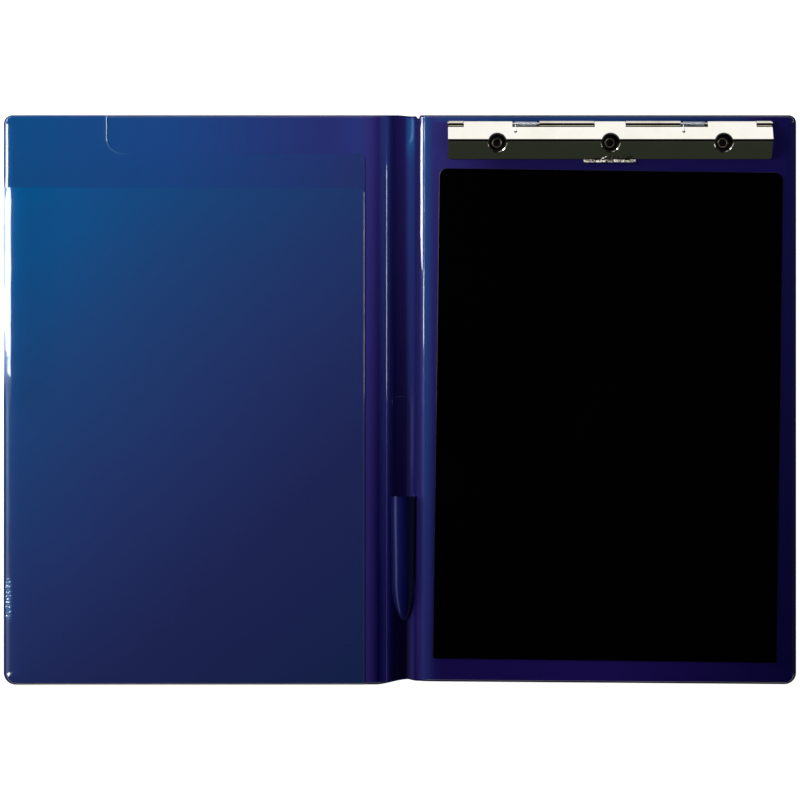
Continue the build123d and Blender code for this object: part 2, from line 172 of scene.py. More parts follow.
@dataclass(frozen=True)
class Outline:
    """A rectangle in plan with round corners, in the order top left, top right, bottom right, bottom left."""

    left: float
    right: float
    bottom: float
    top: float
    radii: tuple[float, float, float, float]

    @property
    def middle(self) -> Pair:
        """The rectangle's middle."""
        return (self.left + self.right) / 2, (self.bottom + self.top) / 2

    def inward(self, x: Array, y: Array) -> Grid:
        """Distance inward from the outline, by the usual rule for a round-cornered rectangle.

        Args:
            x: Places along X.
            y: Places along Y.

        Returns:
            The distance, and the share of the outline's normal there that points along X.
        """
        middle_x, middle_y = self.middle
        top_left, top_right, bottom_right, bottom_left = self.radii
        lower = np.where(x < middle_x, bottom_left, bottom_right)
        upper = np.where(x < middle_x, top_left, top_right)
        radius = np.where(y < middle_y, lower, upper)
        over_x = np.abs(x - middle_x) - (self.right - self.left) / 2 + radius
        over_y = np.abs(y - middle_y) - (self.top - self.bottom) / 2 + radius
        corner = np.hypot(np.maximum(over_x, 0), np.maximum(over_y, 0))
        flat = np.minimum(np.maximum(over_x, over_y), 0)
        in_corner = (over_x > 0) & (over_y > 0)
        across = np.where(in_corner, (over_x / np.maximum(corner, 1e-6)) ** 2, over_x >= over_y)
        return radius - corner - flat, across

    def grid(self, columns: Array, rows: Array) -> Grid:
        """A grid whose ends follow the round corners: rows near an end are squeezed into the corner.

        Args:
            columns: Places of the columns along X.
            rows: Places of the rows along Y.

        Returns:
            X and Y of the grid points.
        """
        x, y = np.meshgrid(columns, rows, indexing="ij")
        top_left, top_right, bottom_right, bottom_left = self.radii
        above = corner_drop(x - self.left, top_left) + corner_drop(self.right - x, top_right)
        below = corner_drop(x - self.left, bottom_left) + corner_drop(self.right - x, bottom_right)
        near_top = np.clip((y - self.top + SQUEEZE) / SQUEEZE, 0, 1)
        near_bottom = np.clip((self.bottom + SQUEEZE - y) / SQUEEZE, 0, 1)
        return x, y - above * near_top + below * near_bottom


@dataclass(frozen=True)
class HoleRing:
    """A square block of a plan grid that is pulled out round a hole."""

    centre: Pair
    radius: float = 4.1
    inner: float = 3.4
    outer: float = 6.5

    def lines(self, axis: int) -> Array:
        """Grid lines that the block needs along X (axis 0) or Y (axis 1)."""
        marks = (-self.outer, -self.inner, self.inner, self.outer)
        runs = [np.linspace(*ends, count) for *ends, count in zip(marks, marks[1:], (4, 9, 4))]
        return np.unique(np.round(np.concatenate(runs) + self.centre[axis], 6))

    def open(self, x: Array, y: Array, keep: Array) -> tuple[Array, Array, Array]:
        """Moves the block's inner square out or in to the circle, and leaves out the cells inside it.

        A point of the ring goes to a mix of the circle at its own angle and its first place, by its share of
        the way from the inner to the outer square.

        Args:
            x: X of the grid.
            y: Y of the grid.
            keep: Which cells are kept so far.

        Returns:
            The new X, Y and kept cells.
        """
        dx, dy = x - self.centre[0], y - self.centre[1]
        reach = np.maximum(np.abs(dx), np.abs(dy))
        share = np.clip((reach - self.inner) / (self.outer - self.inner), 0, 1)
        angle = np.arctan2(dy, dx)
        ring = reach < self.outer
        circle = (1 - share) * self.radius
        new_x = np.where(ring, self.centre[0] + circle * np.cos(angle) + share * dx, x)
        new_y = np.where(ring, self.centre[1] + circle * np.sin(angle) + share * dy, y)
        middles = [np.abs(d[:-1, :-1] + d[1:, 1:]) / 2 for d in (dx, dy)]
        return new_x, new_y, keep & (np.maximum(*middles) >= self.inner)


# Meshes


def add_piece(
    name: str,
    points: Array,
    faces: Sequence[Array],
    finish: bpy.types.Material,
    crease: float = 32.0,
    stretch: Array | None = None,
) -> bpy.types.Object:
    """Makes a mesh object from points and faces, and shades it smooth up to an angle.

    Args:
        name: Name of the piece.
        points: Points in millimetres, one per row.
        faces: Arrays of corner numbers, one face per row, each array with its own number of corners.
        finish: The piece's material.
        crease: Angle in degrees past which an edge stays sharp.
        stretch: Painted highlight at each point (up to 1), and darkening where films are fused at the rim
            (down to -1), or None.

    Returns:
        The new object, with its place in its mesh.
    """
    used, flat = np.unique(np.concatenate([f.ravel() for f in faces]), return_inverse=True)
    sizes = np.concatenate([np.full(len(f), f.shape[1]) for f in faces])
    mesh = bpy.data.meshes.new(name)
    mesh.vertices.add(len(used))
    mesh.vertices.foreach_set("co", (points[used] * MM).astype(np.float32).ravel())
    mesh.loops.add(len(flat))
    mesh.loops.foreach_set("vertex_index", flat.astype(np.int32).ravel())
    mesh.polygons.add(len(sizes))
    mesh.polygons.foreach_set("loop_start", (np.cumsum(sizes) - sizes).astype(np.int32))
    mesh.polygons.foreach_set("use_smooth", np.ones(len(sizes), bool))
    mesh.update(calc_edges=True)
    mesh.validate()
    if stretch is not None:
        layer = mesh.attributes.new("stretch", "FLOAT", "POINT")
        layer.data.foreach_set("value", stretch[used].astype(np.float32))
    mesh.set_sharp_from_angle(angle=math.radians(crease))
    mesh.materials.append(finish)
    piece = bpy.data.objects.new(name, mesh)
    bpy.context.scene.collection.objects.link(piece)
    log.info("%s: %d points, %d faces", name, len(used), len(sizes))
    return piece


def sheet_faces(shape: tuple[int, int], keep: Array | None = None) -> list[Array]:
    """Faces of a closed sheet between an upper grid and a lower one that follows it in the list of points.

    Each kept cell gives a face above and one below, and each side with no kept neighbour gives a wall.

    Args:
        shape: Columns and rows of the grid.
        keep: Which cells are there, or None for all.

    Returns:
        Arrays of four corner numbers.
    """
    columns, rows = shape
    keep = np.ones((columns - 1, rows - 1), bool) if keep is None else keep
    index = np.arange(columns * rows).reshape(shape)
    below = columns * rows
    a, b, c, d = index[:-1, :-1], index[1:, :-1], index[1:, 1:], index[:-1, 1:]
    framed = np.pad(keep, 1)
    neighbours = (framed[1:-1, :-2], framed[2:, 1:-1], framed[1:-1, 2:], framed[:-2, 1:-1])
    faces = [np.stack([a, b, c, d], -1)[keep], np.stack([d, c, b, a], -1)[keep] + below]
    for first, second, neighbour in zip((a, b, c, d), (b, c, d, a), neighbours):
        edge = keep & ~neighbour
        faces.append(np.stack([first + below, second + below, second, first], -1)[edge])
    return faces


def add_sheet(
    name: str,
    plan: Sequence[Array],
    heights: tuple[float | Array, float | Array],
    finish: bpy.types.Material,
    stretch: Array | None = None,
    keep: Array | None = None,
) -> bpy.types.Object:
    """Makes a closed sheet between two surfaces over a plan grid.

    Args:
        name: Name of the piece.
        plan: X and Y of the grid.
        heights: Heights of the lower and the upper surface, for the whole grid or for each of its points.
        finish: The piece's material.
        stretch: The point attribute of painted highlight and rim darkening over the grid, or None.
        keep: Which cells of the grid are there, or None for all.

    Returns:
        The new object.
    """
    x, y = plan
    sides = [np.stack([x, y, np.broadcast_to(z, x.shape)], -1).reshape(-1, 3) for z in reversed(heights)]
    both = None if stretch is None else np.tile(stretch.ravel(), 2)
    return add_piece(name, np.concatenate(sides), sheet_faces(x.shape, keep), finish, stretch=both)


def wire(path: Array, radius: float, sides: int) -> tuple[Array, list[Array]]:
    """A round wire with round ends along a path that turns about the X direction.

    Each ring lies across the path's tangent, on the part of X across it and on the direction square to both.
    The rings at the ends shrink by the cosine of an angle and go out by its sine, up to a closing point.

    Args:
        path: Points of the wire's middle line.
        radius: Half the wire's thickness.
        sides: Points in a ring.

    Returns:
        The points, and the faces as arrays of corner numbers.
    """
    tangent = np.gradient(path, axis=0)
    tangent /= np.linalg.norm(tangent, axis=1, keepdims=True)
    cap = np.radians([72.0, 45.0, 20.0])
    head = path[0] - radius * np.sin(cap)[:, None] * tangent[0]
    tail = path[-1] + radius * np.sin(cap)[::-1, None] * tangent[-1]
    centre = np.concatenate([head, path, tail])
    along = np.concatenate([np.repeat(tangent[:1], 3, 0), tangent, np.repeat(tangent[-1:], 3, 0)])
    size = radius * np.concatenate([np.cos(cap), np.ones(len(path)), np.cos(cap)[::-1]])
    across = np.array([1.0, 0.0, 0.0]) - along[:, :1] * along
    across /= np.linalg.norm(across, axis=1, keepdims=True)
    normal = np.cross(along, across)
    angle = np.linspace(0, 2 * math.pi, sides, endpoint=False)
    ring = normal[:, None] * np.cos(angle)[:, None] + across[:, None] * np.sin(angle)[:, None]
    rings = centre[:, None] + size[:, None, None] * ring
    ends = np.array([path[0] - radius * tangent[0], path[-1] + radius * tangent[-1]])
    index = np.arange(len(centre) * sides).reshape(len(centre), sides)
    onward = np.roll(index, -1, axis=1)
    body = np.stack([index[:-1], index[1:], onward[1:], onward[:-1]], -1).reshape(-1, 4)
    start = np.stack([np.full(sides, index.size), index[0], onward[0]], -1)
    finish = np.stack([np.full(sides, index.size + 1), onward[-1], index[-1]], -1)
    return np.concatenate([rings.reshape(-1, 3), ends]), [body, start, finish]


def turned(x: Array, y: Array, z: Array) -> tuple[Array, list[Array]]:
    """A closed body swept once round an upright axis, whose profile goes inward above and back below.

    Args:
        x: Places along X, a row for each step round the axis and a column for each point of the profile.
        y: Places along Y.
        z: Places along Z.

    Returns:
        The points, and the faces as arrays of corner numbers.
    """
    index = np.arange(x.size).reshape(x.shape)
    ahead, onward = np.roll(index, -1, axis=0), np.roll(index, -1, axis=1)
    faces = np.stack([index, ahead, np.roll(ahead, -1, axis=1), onward], -1).reshape(-1, 4)
    return np.stack([x, y, z], -1).reshape(-1, 3), [faces]


def settle(piece: bpy.types.Object, body: Body, slot: str, nodes: Sequence[str] = ()) -> None:
    """Lets a finished piece ride on a body, and lets it stand for CAD nodes.

    Args:
        piece: The piece.
        body: The body that it rides on.
        slot: Not used.
        nodes: CAD nodes that it stands for, none for a piece that is only added.
    """
    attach(piece, body.value)
    if nodes:
        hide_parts(*nodes)


def settle_between(
    piece: bpy.types.Object,
    nodes: Sequence[str],
) -> None:
    """Bakes a piece's place into its mesh, and lets it stand for CAD nodes.

    Args:
        piece: The piece.
        nodes: CAD nodes that it stands for.
    """
    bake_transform(piece)
    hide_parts(*nodes)


# Finishes


def add_node(
    tree: bpy.types.NodeTree,
    kind: str,
    inputs: dict | None = None,
    stops: Stops = (),
    **settings: object,
) -> bpy.types.Node:
    """Adds a shader node with its settings, its colour stops and its inputs.

    Args:
        tree: The node tree.
        kind: Blender's name of the node's type, less the "ShaderNode" that it starts with.
        inputs: By name or number of the input, its value, an output socket, or a node for its first output.
        stops: Places and hex colours of a colour ramp.
        **settings: Properties of the node.

    Returns:
        The node.
    """
    node = tree.nodes.new("ShaderNode" + kind)
    for key, value in settings.items():
        setattr(node, key, value)
    for key, value in (inputs or {}).items():
        if isinstance(value, bpy.types.Node):
            value = next(output for output in value.outputs if output.enabled)
        if isinstance(value, bpy.types.NodeSocket):
            tree.links.new(value, node.inputs[key])
        else:
            node.inputs[key].default_value = value
    if stops:
        elements = node.color_ramp.elements
        for _ in range(len(stops) - len(elements)):
            elements.new(1.0)
        for element, (place, code) in zip(elements, stops):
            element.position = place
            element.color = linear(code)
    return node


def new_material(name: str) -> tuple[bpy.types.Material, Adder]:
    """Makes an empty node material.

    Args:
        name: The material's name.

    Returns:
        The material, and what adds a node to it.
    """
    material = bpy.data.materials.new(name)
    material.use_nodes = True
    material.node_tree.nodes.clear()
    return material, partial(add_node, material.node_tree)


@dataclass(frozen=True)
class FilmFinish:
    """Soft PVC film off polished calender rolls: a clear gloss over a deep colour, and a faint orange peel.

    The gloss gives hard white lines on every bent edge. The tint changes slowly over a sheet, with slight
    clouds, and its stops can carry painted light and shade. The piece's stretch attribute paints a pale cyan
    highlight on bends and cut edges, and takes the film nearly to black where films are fused at the rim.
    Stops give the painted tint at the clamp end, and lower stops the one at the far end, at places in
    millimetres along the heading.
    """

    name: str
    stops: Stops
    lower: Stops = ()
    heading: float = 0.0
    # Colour of the painted highlight on bends and cut edges.
    painted_highlight_colour: str = "#1C4A84"
    fused: str = "#020A26"
    clouds: float = 26.0
    clouds_per_metre: float = 13.0
    lower_run: Pair = (-150.0, 158.0)
    lower_power: float = 1.6
    roughness: float = 0.3
    rubbed: float = 0.06
    body_gloss: float = 0.12
    peel_size: float = 2.2
    peel_depth: float = 0.012
    gloss: float = 1.0

    def hue(self, add: Adder, place: bpy.types.NodeSocket, cloud: bpy.types.Node) -> bpy.types.Node:
        """Adds the nodes of the film's colour, with its painted light and shade.

        The share of the clamp end's tint is the height along Y, from 0 to 1, to a power.

        Args:
            add: What adds a node.
            place: Socket with the place on the piece.
            cloud: The noise that shifts the tint.

        Returns:
            The node that gives the colour.
        """
        turn = math.radians(self.heading)
        way = (math.cos(turn), -math.sin(turn), 0.0)
        first, last = self.stops[0][0], self.stops[-1][0]
        drift = self.clouds / 2 * MM
        along = add("VectorMath", {0: place, 1: way}, operation="DOT_PRODUCT")
        cloudy = add("MapRange", {"Value": cloud, "To Min": -drift, "To Max": drift})
        moved = add("Math", {0: along, 1: cloudy}, operation="ADD")
        share = add("MapRange", {"Value": moved, "From Min": first * MM, "From Max": last * MM})
        # Painted light and shade: the stops paint lighter and darker bands along the heading, and the lower
        # stops a darker far end.
        runs = [
            [((spot - first) / (last - first), code) for spot, code in run]
            for run in (self.stops, self.lower)
            if run
        ]
        colour, *low = [add("ValToRGB", {"Fac": share}, run) for run in runs]
        if low:
            bottom, top = self.lower_run
            up = add("SeparateXYZ", {"Vector": place}).outputs["Y"]
            height = add("MapRange", {"Value": up, "From Min": bottom * MM, "From Max": top * MM})
            part = add("Math", {0: height, 1: self.lower_power}, operation="POWER")
            colour = add("Mix", {0: part, 6: low[0], 7: colour}, data_type="RGBA")
        # Painted highlight from the stretch attribute: towards pale cyan on bends and cut edges, and below
        # zero nearly to black at the rim.
        stretch = add("Attribute", attribute_name="stretch").outputs["Fac"]
        colour = add("Mix", {0: stretch, 6: colour, 7: linear(self.painted_highlight_colour)}, data_type="RGBA")
        dark_rim_share = add("Math", {0: stretch, 1: -1.0}, operation="MULTIPLY", use_clamp=True)
        return add("Mix", {0: dark_rim_share, 6: colour, 7: linear(self.fused)}, data_type="RGBA")

    def material(self) -> bpy.types.Material:
        """Builds the film's material.

        Returns:
            The material, which reads Object coordinates.
        """
        material, add = new_material(self.name)
        place = add("TexCoord").outputs["Object"]
        wide = {"Scale": self.clouds_per_metre, "Detail": 3.0, "Roughness": 0.45, "Distortion": 0.6}
        cloud = add("TexNoise", {"Vector": place, **wide})
        colour = self.hue(add, place, cloud)
        small = {"Scale": 1 / (self.peel_size * MM), "Detail": 2.0, "Roughness": 0.5}
        peel = add("TexNoise", {"Vector": place, **small})
        bump = add("Bump", {"Height": peel, "Distance": self.peel_depth * MM})
        smooth, rough = self.roughness - self.rubbed, self.roughness + self.rubbed
        rub = add("MapRange", {"Value": cloud, "To Min": smooth, "To Max": rough})
        body = {"Base Color": colour, "Roughness": rub, "Normal": bump, "IOR": 1.5}
        coat = {"Coat Weight": self.gloss, "Coat Roughness": 0.06, "Coat IOR": 1.62, "Coat Normal": bump}
        shader = add("BsdfPrincipled", {**body, "Specular IOR Level": self.body_gloss, **coat})
        add("OutputMaterial", {"Surface": shader})
        return material


@dataclass(frozen=True)
class SteelFinish:
    """Steel sheet or wire with a bright plated skin: mirror-like, with fine rolling lines along the sheet.

    The lines run along X, far closer than a render shows, so they are drawn coarser, as a slight change of
    gloss. Where the sheet was curled into a tab, below a place along Y that is higher by the tab's middle,
    shallow dents break the mirror up. The tab is given by its middle and half its width along X.
    """

    name: str
    colour: str
    shade: str
    roughness: Pair
    line_width: float = 0.35
    line_length: float = 18.0
    depth: float = 0.0015
    metal: float = 1.0
    stains_per_metre: float = 60.0
    dented_below: float = -1000.0
    tab: Pair = (131.5, 12.0)
    tab_rise: float = 1.9
    dents_per_metre: float = 420.0
    dent_depth: float = 1.1

    def material(self) -> bpy.types.Material:
        """Builds the metal's material.

        Returns:
            The material, which reads Object coordinates.
        """
        material, add = new_material(self.name)
        place = add("TexCoord").outputs["Object"]
        fine = 1 / (self.line_width * MM)
        drawn = add("Mapping", {"Vector": place, "Scale": (1 / (self.line_length * MM), fine, fine)})
        lines = add("TexNoise", {"Vector": drawn, "Scale": 1.0, "Detail": 3.0})
        stain = add("TexNoise", {"Vector": place, "Scale": self.stains_per_metre, "Detail": 4.0})
        colour = add("ValToRGB", {"Fac": stain}, ((0.38, self.shade), (0.6, self.colour)))
        smooth, rough = self.roughness
        middle_grey = {"From Min": 0.3, "From Max": 0.7}
        gloss = add("MapRange", {"Value": lines, **middle_grey, "To Min": smooth, "To Max": rough})
        bump = add("Bump", {"Height": lines, "Distance": self.depth * MM})
        parts = add("SeparateXYZ", {"Vector": place})
        edge, (middle, half) = self.dented_below * MM, self.tab
        away = add("Math", {0: parts.outputs["X"], 1: middle * MM}, operation="SUBTRACT")
        away = add("Math", {0: away}, operation="ABSOLUTE")
        over_tab = {"From Min": half * MM, "From Max": (half - 4) * MM, "To Max": self.tab_rise * MM}
        higher = add("MapRange", {"Value": away, **over_tab})
        place_y = add("Math", {0: parts.outputs["Y"], 1: higher}, operation="SUBTRACT")
        band = add("MapRange", {"Value": place_y, "From Min": edge, "From Max": edge - 0.4 * MM})
        dents = add("TexNoise", {"Vector": place, "Scale": self.dents_per_metre, "Detail": 1.0})
        depth = add("Math", {0: dents, 1: band}, operation="MULTIPLY")
        dent = {"Height": depth, "Distance": self.dent_depth * MM, "Normal": bump}
        skin = {"Metallic": self.metal, "Roughness": gloss, "Normal": add("Bump", dent)}
        add("OutputMaterial", {"Surface": add("BsdfPrincipled", {"Base Color": colour, **skin})})
        return material


@dataclass(frozen=True)
class BoardFinish:
    """Grey board of pressed waste paper: matt, with flecks of fibre in it."""

    name: str = "grey_board_pressed"
    colour: str = "#8C8880"
    fleck: str = "#5E5A54"
    fibre: float = 1.2
    relief: float = 0.05

    def material(self) -> bpy.types.Material:
        """Builds the board's material.

        Returns:
            The material, which reads Object coordinates.
        """
        material, add = new_material(self.name)
        place = add("TexCoord").outputs["Object"]
        small = {"Scale": 1 / (self.fibre * MM), "Detail": 5.0, "Roughness": 0.7}
        fibres = add("TexNoise", {"Vector": place, **small})
        colour = add("ValToRGB", {"Fac": fibres}, ((0.35, self.fleck), (0.55, self.colour)))
        bump = add("Bump", {"Height": fibres, "Distance": self.relief * MM})
        shader = add("BsdfPrincipled", {"Base Color": colour, "Roughness": 0.9, "Normal": bump})
        add("OutputMaterial", {"Surface": shader})
        return material


@dataclass(frozen=True)
class Finishes:
    """All the finishes of the folder."""

    # Film off polished rolls, drawn over the board: hard white lines on its bends, and a blue painted with
    # light and shade, in bands across the leaves, the groove and the spine, and darker towards the far end.
    lining: FilmFinish = FilmFinish(
        "pvc_film_navy_calendered",
        (
            (-237.0, "#0A457A"),
            (-137.0, "#1A4280"),
            (-42.0, "#293072"),
            (-24.0, "#2A357A"),
            (-18.0, "#302F74"),
            (-12.5, "#221D62"),
            (-9.0, "#2A3C80"),
            (-5.0, "#0C093C"),
            (2.0, "#1E184F"),
            (9.4, "#20246A"),
            (11.5, "#282868"),
            (21.0, "#302C72"),
            (60.0, "#1A1448"),
            (237.0, "#120C48"),
        ),
        (
            (-237.0, "#1E2C60"),
            (-20.0, "#2A2264"),
            (-13.0, "#03002E"),
            (-8.5, "#181258"),
            (-5.0, "#02001C"),
            (4.0, "#020117"),
            (7.0, "#2A265E"),
            (8.6, "#0E0A48"),
            (11.0, "#282266"),
            (24.0, "#160D46"),
            (120.0, "#1A0E50"),
            (237.0, "#060230"),
        ),
        clouds=2.0,
    )
    # The same film's outer side, whose deeper peel softens what it mirrors.
    outside: FilmFinish = FilmFinish(
        "pvc_film_navy_outside", ((-237.0, "#1C2462"), (0.0, "#191E58"), (237.0, "#16184C")), peel_depth=0.02
    )
    # Thinner film laid over the lining: a shade greyer, painted lighter to the left and darker to the far end
    # as painted light and shade, with a pale painted highlight on its bends and cut edge.
    tall_sheet: FilmFinish = FilmFinish(
        "pvc_film_blue_tall_pocket_sheet",
        ((-237.0, "#0A457A"), (-137.0, "#1A4280"), (-42.0, "#253672"), (-19.0, "#26346E")),
        ((-237.0, "#14345E"), (-19.0, "#1A2450")),
        painted_highlight_colour="#3C6A9C",
    )
    # The sheet on top, the brightest blue, with painted light that fades down it from the upper left corner
    # to the lower right one.
    short_sheet: FilmFinish = FilmFinish(
        "pvc_film_blue_short_pocket_sheet",
        ((-260.0, "#005088"), (-150.0, "#1D3F74"), (-80.0, "#23346A"), (0.0, "#21285A"), (110.0, "#172652")),
        heading=45.0,
        painted_highlight_colour="#3C6A9C",
    )
    # Film drawn into a tube, with painted light and shade across it: bluer on its left side, where soft
    # lights also run along it, and painted nearly black on its right side, turned from the light.
    sheath: FilmFinish = FilmFinish(
        "pvc_film_navy_pen_sheath",
        ((-6.0, "#141A5A"), (0.0, "#0E104A"), (4.0, "#04042C"), (11.0, "#010112")),
        clouds=1.0,
    )
    # Polished black sheet without a coat: black from above, with a soft wide sheen from the side.
    plate: FilmFinish = FilmFinish(
        "pvc_sheet_black_polished",
        ((-237.0, "#010101"), (237.0, "#000000")),
        roughness=0.18,
        peel_size=3.0,
        peel_depth=0.004,
        body_gloss=0.4,
        gloss=0.0,
    )
    # Nickel plate: a warm white mirror with flat bands of window and dark room, broken up on the curled tab.
    lever: SteelFinish = SteelFinish(
        "steel_sheet_nickel_plated", "#E0DDD6", "#DCD9D0", (0.05, 0.09), depth=0.0008, dented_below=143.7
    )
    # Zinc plate: greyer than the lever, and less sharp.
    base: SteelFinish = SteelFinish("steel_sheet_zinc_plated", "#D0CCC2", "#BEB8AC", (0.07, 0.12))
    # Ground steel: one long soft light line.
    pin: SteelFinish = SteelFinish("steel_pin_ground_bright", "#CFCDC8", "#BAB7B0", (0.1, 0.18))
    # Zinc-plated wire: bluish grey, with a small light on every coil.
    spring: SteelFinish = SteelFinish(
        "spring_wire_zinc_plated", "#A4AAB0", "#858B94", (0.18, 0.32), depth=0.001
    )
    # Bronzed steel: a dull dark brown. The rolled edge is painted paler than the rivet, a painted highlight
    # ring that stands out from it.
    rivet: SteelFinish = SteelFinish("steel_rivet_bronzed", "#4E4438", "#342C24", (0.3, 0.45), metal=0.5)
    rolled: SteelFinish = SteelFinish("steel_rivet_rolled_edge_painted_highlight", "#A89C8C", "#8A7E70", (0.2, 0.3), metal=0.4)
    # Painted shade: a near black finish for the ring round each hole, standing for its shadowed wall, and for
    # a disc over the rivet's bore.
    painted_hole_shade: SteelFinish = SteelFinish(
        "steel_hole_wall_painted_shade", "#100F0C", "#080806", (0.4, 0.6), metal=0.0
    )
    # Bare waste-paper board: matt grey, flecked.
    board: BoardFinish = BoardFinish()


# The leaves of film and board


def end_shift(x: Array, y: Array) -> Array:
    """How far the films' clamp end and lower end run in, over the whole open folder.

    At the clamp end the spine drops by a smooth step, with a narrow bell-shaped notch beside the panel's
    groove. The lower end climbs by a smooth step to a peak on the spine, falls back by an exponential, and
    then runs out in a straight line to the panel's far corner. Both die away along Y by a smooth step.

    Args:
        x: Places along X.
        y: Places along Y.

    Returns:
        What is added to Y.
    """
    drop = 0.7 * ease(-2, 8, x) * (1 - ease(11.2, 12.4, x)) + 1.4 * np.exp(-(((x - 10.9) / 0.8) ** 2))
    past = np.maximum(x - 5.2, 0)
    climb = 0.2 + 3.2 * ease(-15, 5.2, x) - 1.25 * (1 - np.exp(-past / 4)) - 1.75 * past / 222
    return climb * ease(-140, -170, y) - drop * ease(146, 170, y)


def fused_rim(distance: Array) -> Array:
    """How far the films are fused at a distance from the rim: fully up to a third of a millimetre."""
    return 0.9 * (1 - ease(0.35, 0.9, distance))


@dataclass
class Leaf:
    """What both leaves are made of: two films fused round the rim, with a stiff board between them."""

    finishes: Materials
    name: str
    side: str
    bodies: tuple[Body, Body]
    body: Body
    outline: Outline
    foot: Outline
    board: Outline
    own_x: Pair
    fold: Pair
    groove_x: float
    rim_z: float = 0.8
    film: float = 0.4
    rise: float = 2.0
    end_slope: float = 22.0
    wave: float = 0.035

    def rim(self, x: Array, y: Array) -> Grid:
        """Distance from the leaf's rim, which has no side at the spine, and its normal's share along X."""
        return self.outline.inward(np.clip(x, *self.own_x), y)

    def build_films(self, grid: Grid, upper: Array, stretch: Array, rings: Sequence[HoleRing] = ()) -> None:
        """Builds the two films, which run on past the groove into the spine, and the board.

        Args:
            grid: X and Y of the films' grid, before the edges' shift.
            upper: Heights of the inner film's upper side.
            stretch: Painted highlight and rim darkening of the inner film.
            rings: Blocks of the grid with the holes in the outer film.
        """
        x, y = grid
        plan = x, y + end_shift(x, y)
        heights = np.maximum(upper - self.film, WELD_Z), upper
        lining = add_sheet(f"{self.name}_inner_film", plan, heights, self.finishes["lining"], stretch)
        nodes = f"{self.side}_lining", "spine_lining"
        settle_between(lining, nodes)
        under = corner_drop(self.rim(x, y)[0], FILM_ROUNDING)
        keep = np.ones((x.shape[0] - 1, x.shape[1] - 1), bool)
        for ring in rings:
            *plan, keep = ring.open(*plan, keep)
        heights = under, WELD_Z
        outer = add_sheet(f"{self.name}_outer_film", plan, heights, self.finishes["outside"], keep=keep)
        nodes = f"{self.side}_outer_skin", "spine_outer_skin"
        settle_between(outer, nodes)
        plan = self.board
        ends = np.array([0, 0.4, 0.9, 1.6, 2.4, 3.4])
        between = np.linspace(plan.left, plan.right, 40)
        columns = np.unique(np.concatenate([between, plan.left + ends, plan.right - ends]))
        grid = plan.grid(columns, np.linspace(plan.bottom, plan.top, 24))
        board = add_sheet(f"{self.name}_board", grid, BOARD_Z, self.finishes["board"])
        settle(board, self.body, "grey_board", (f"{self.side}_board",))


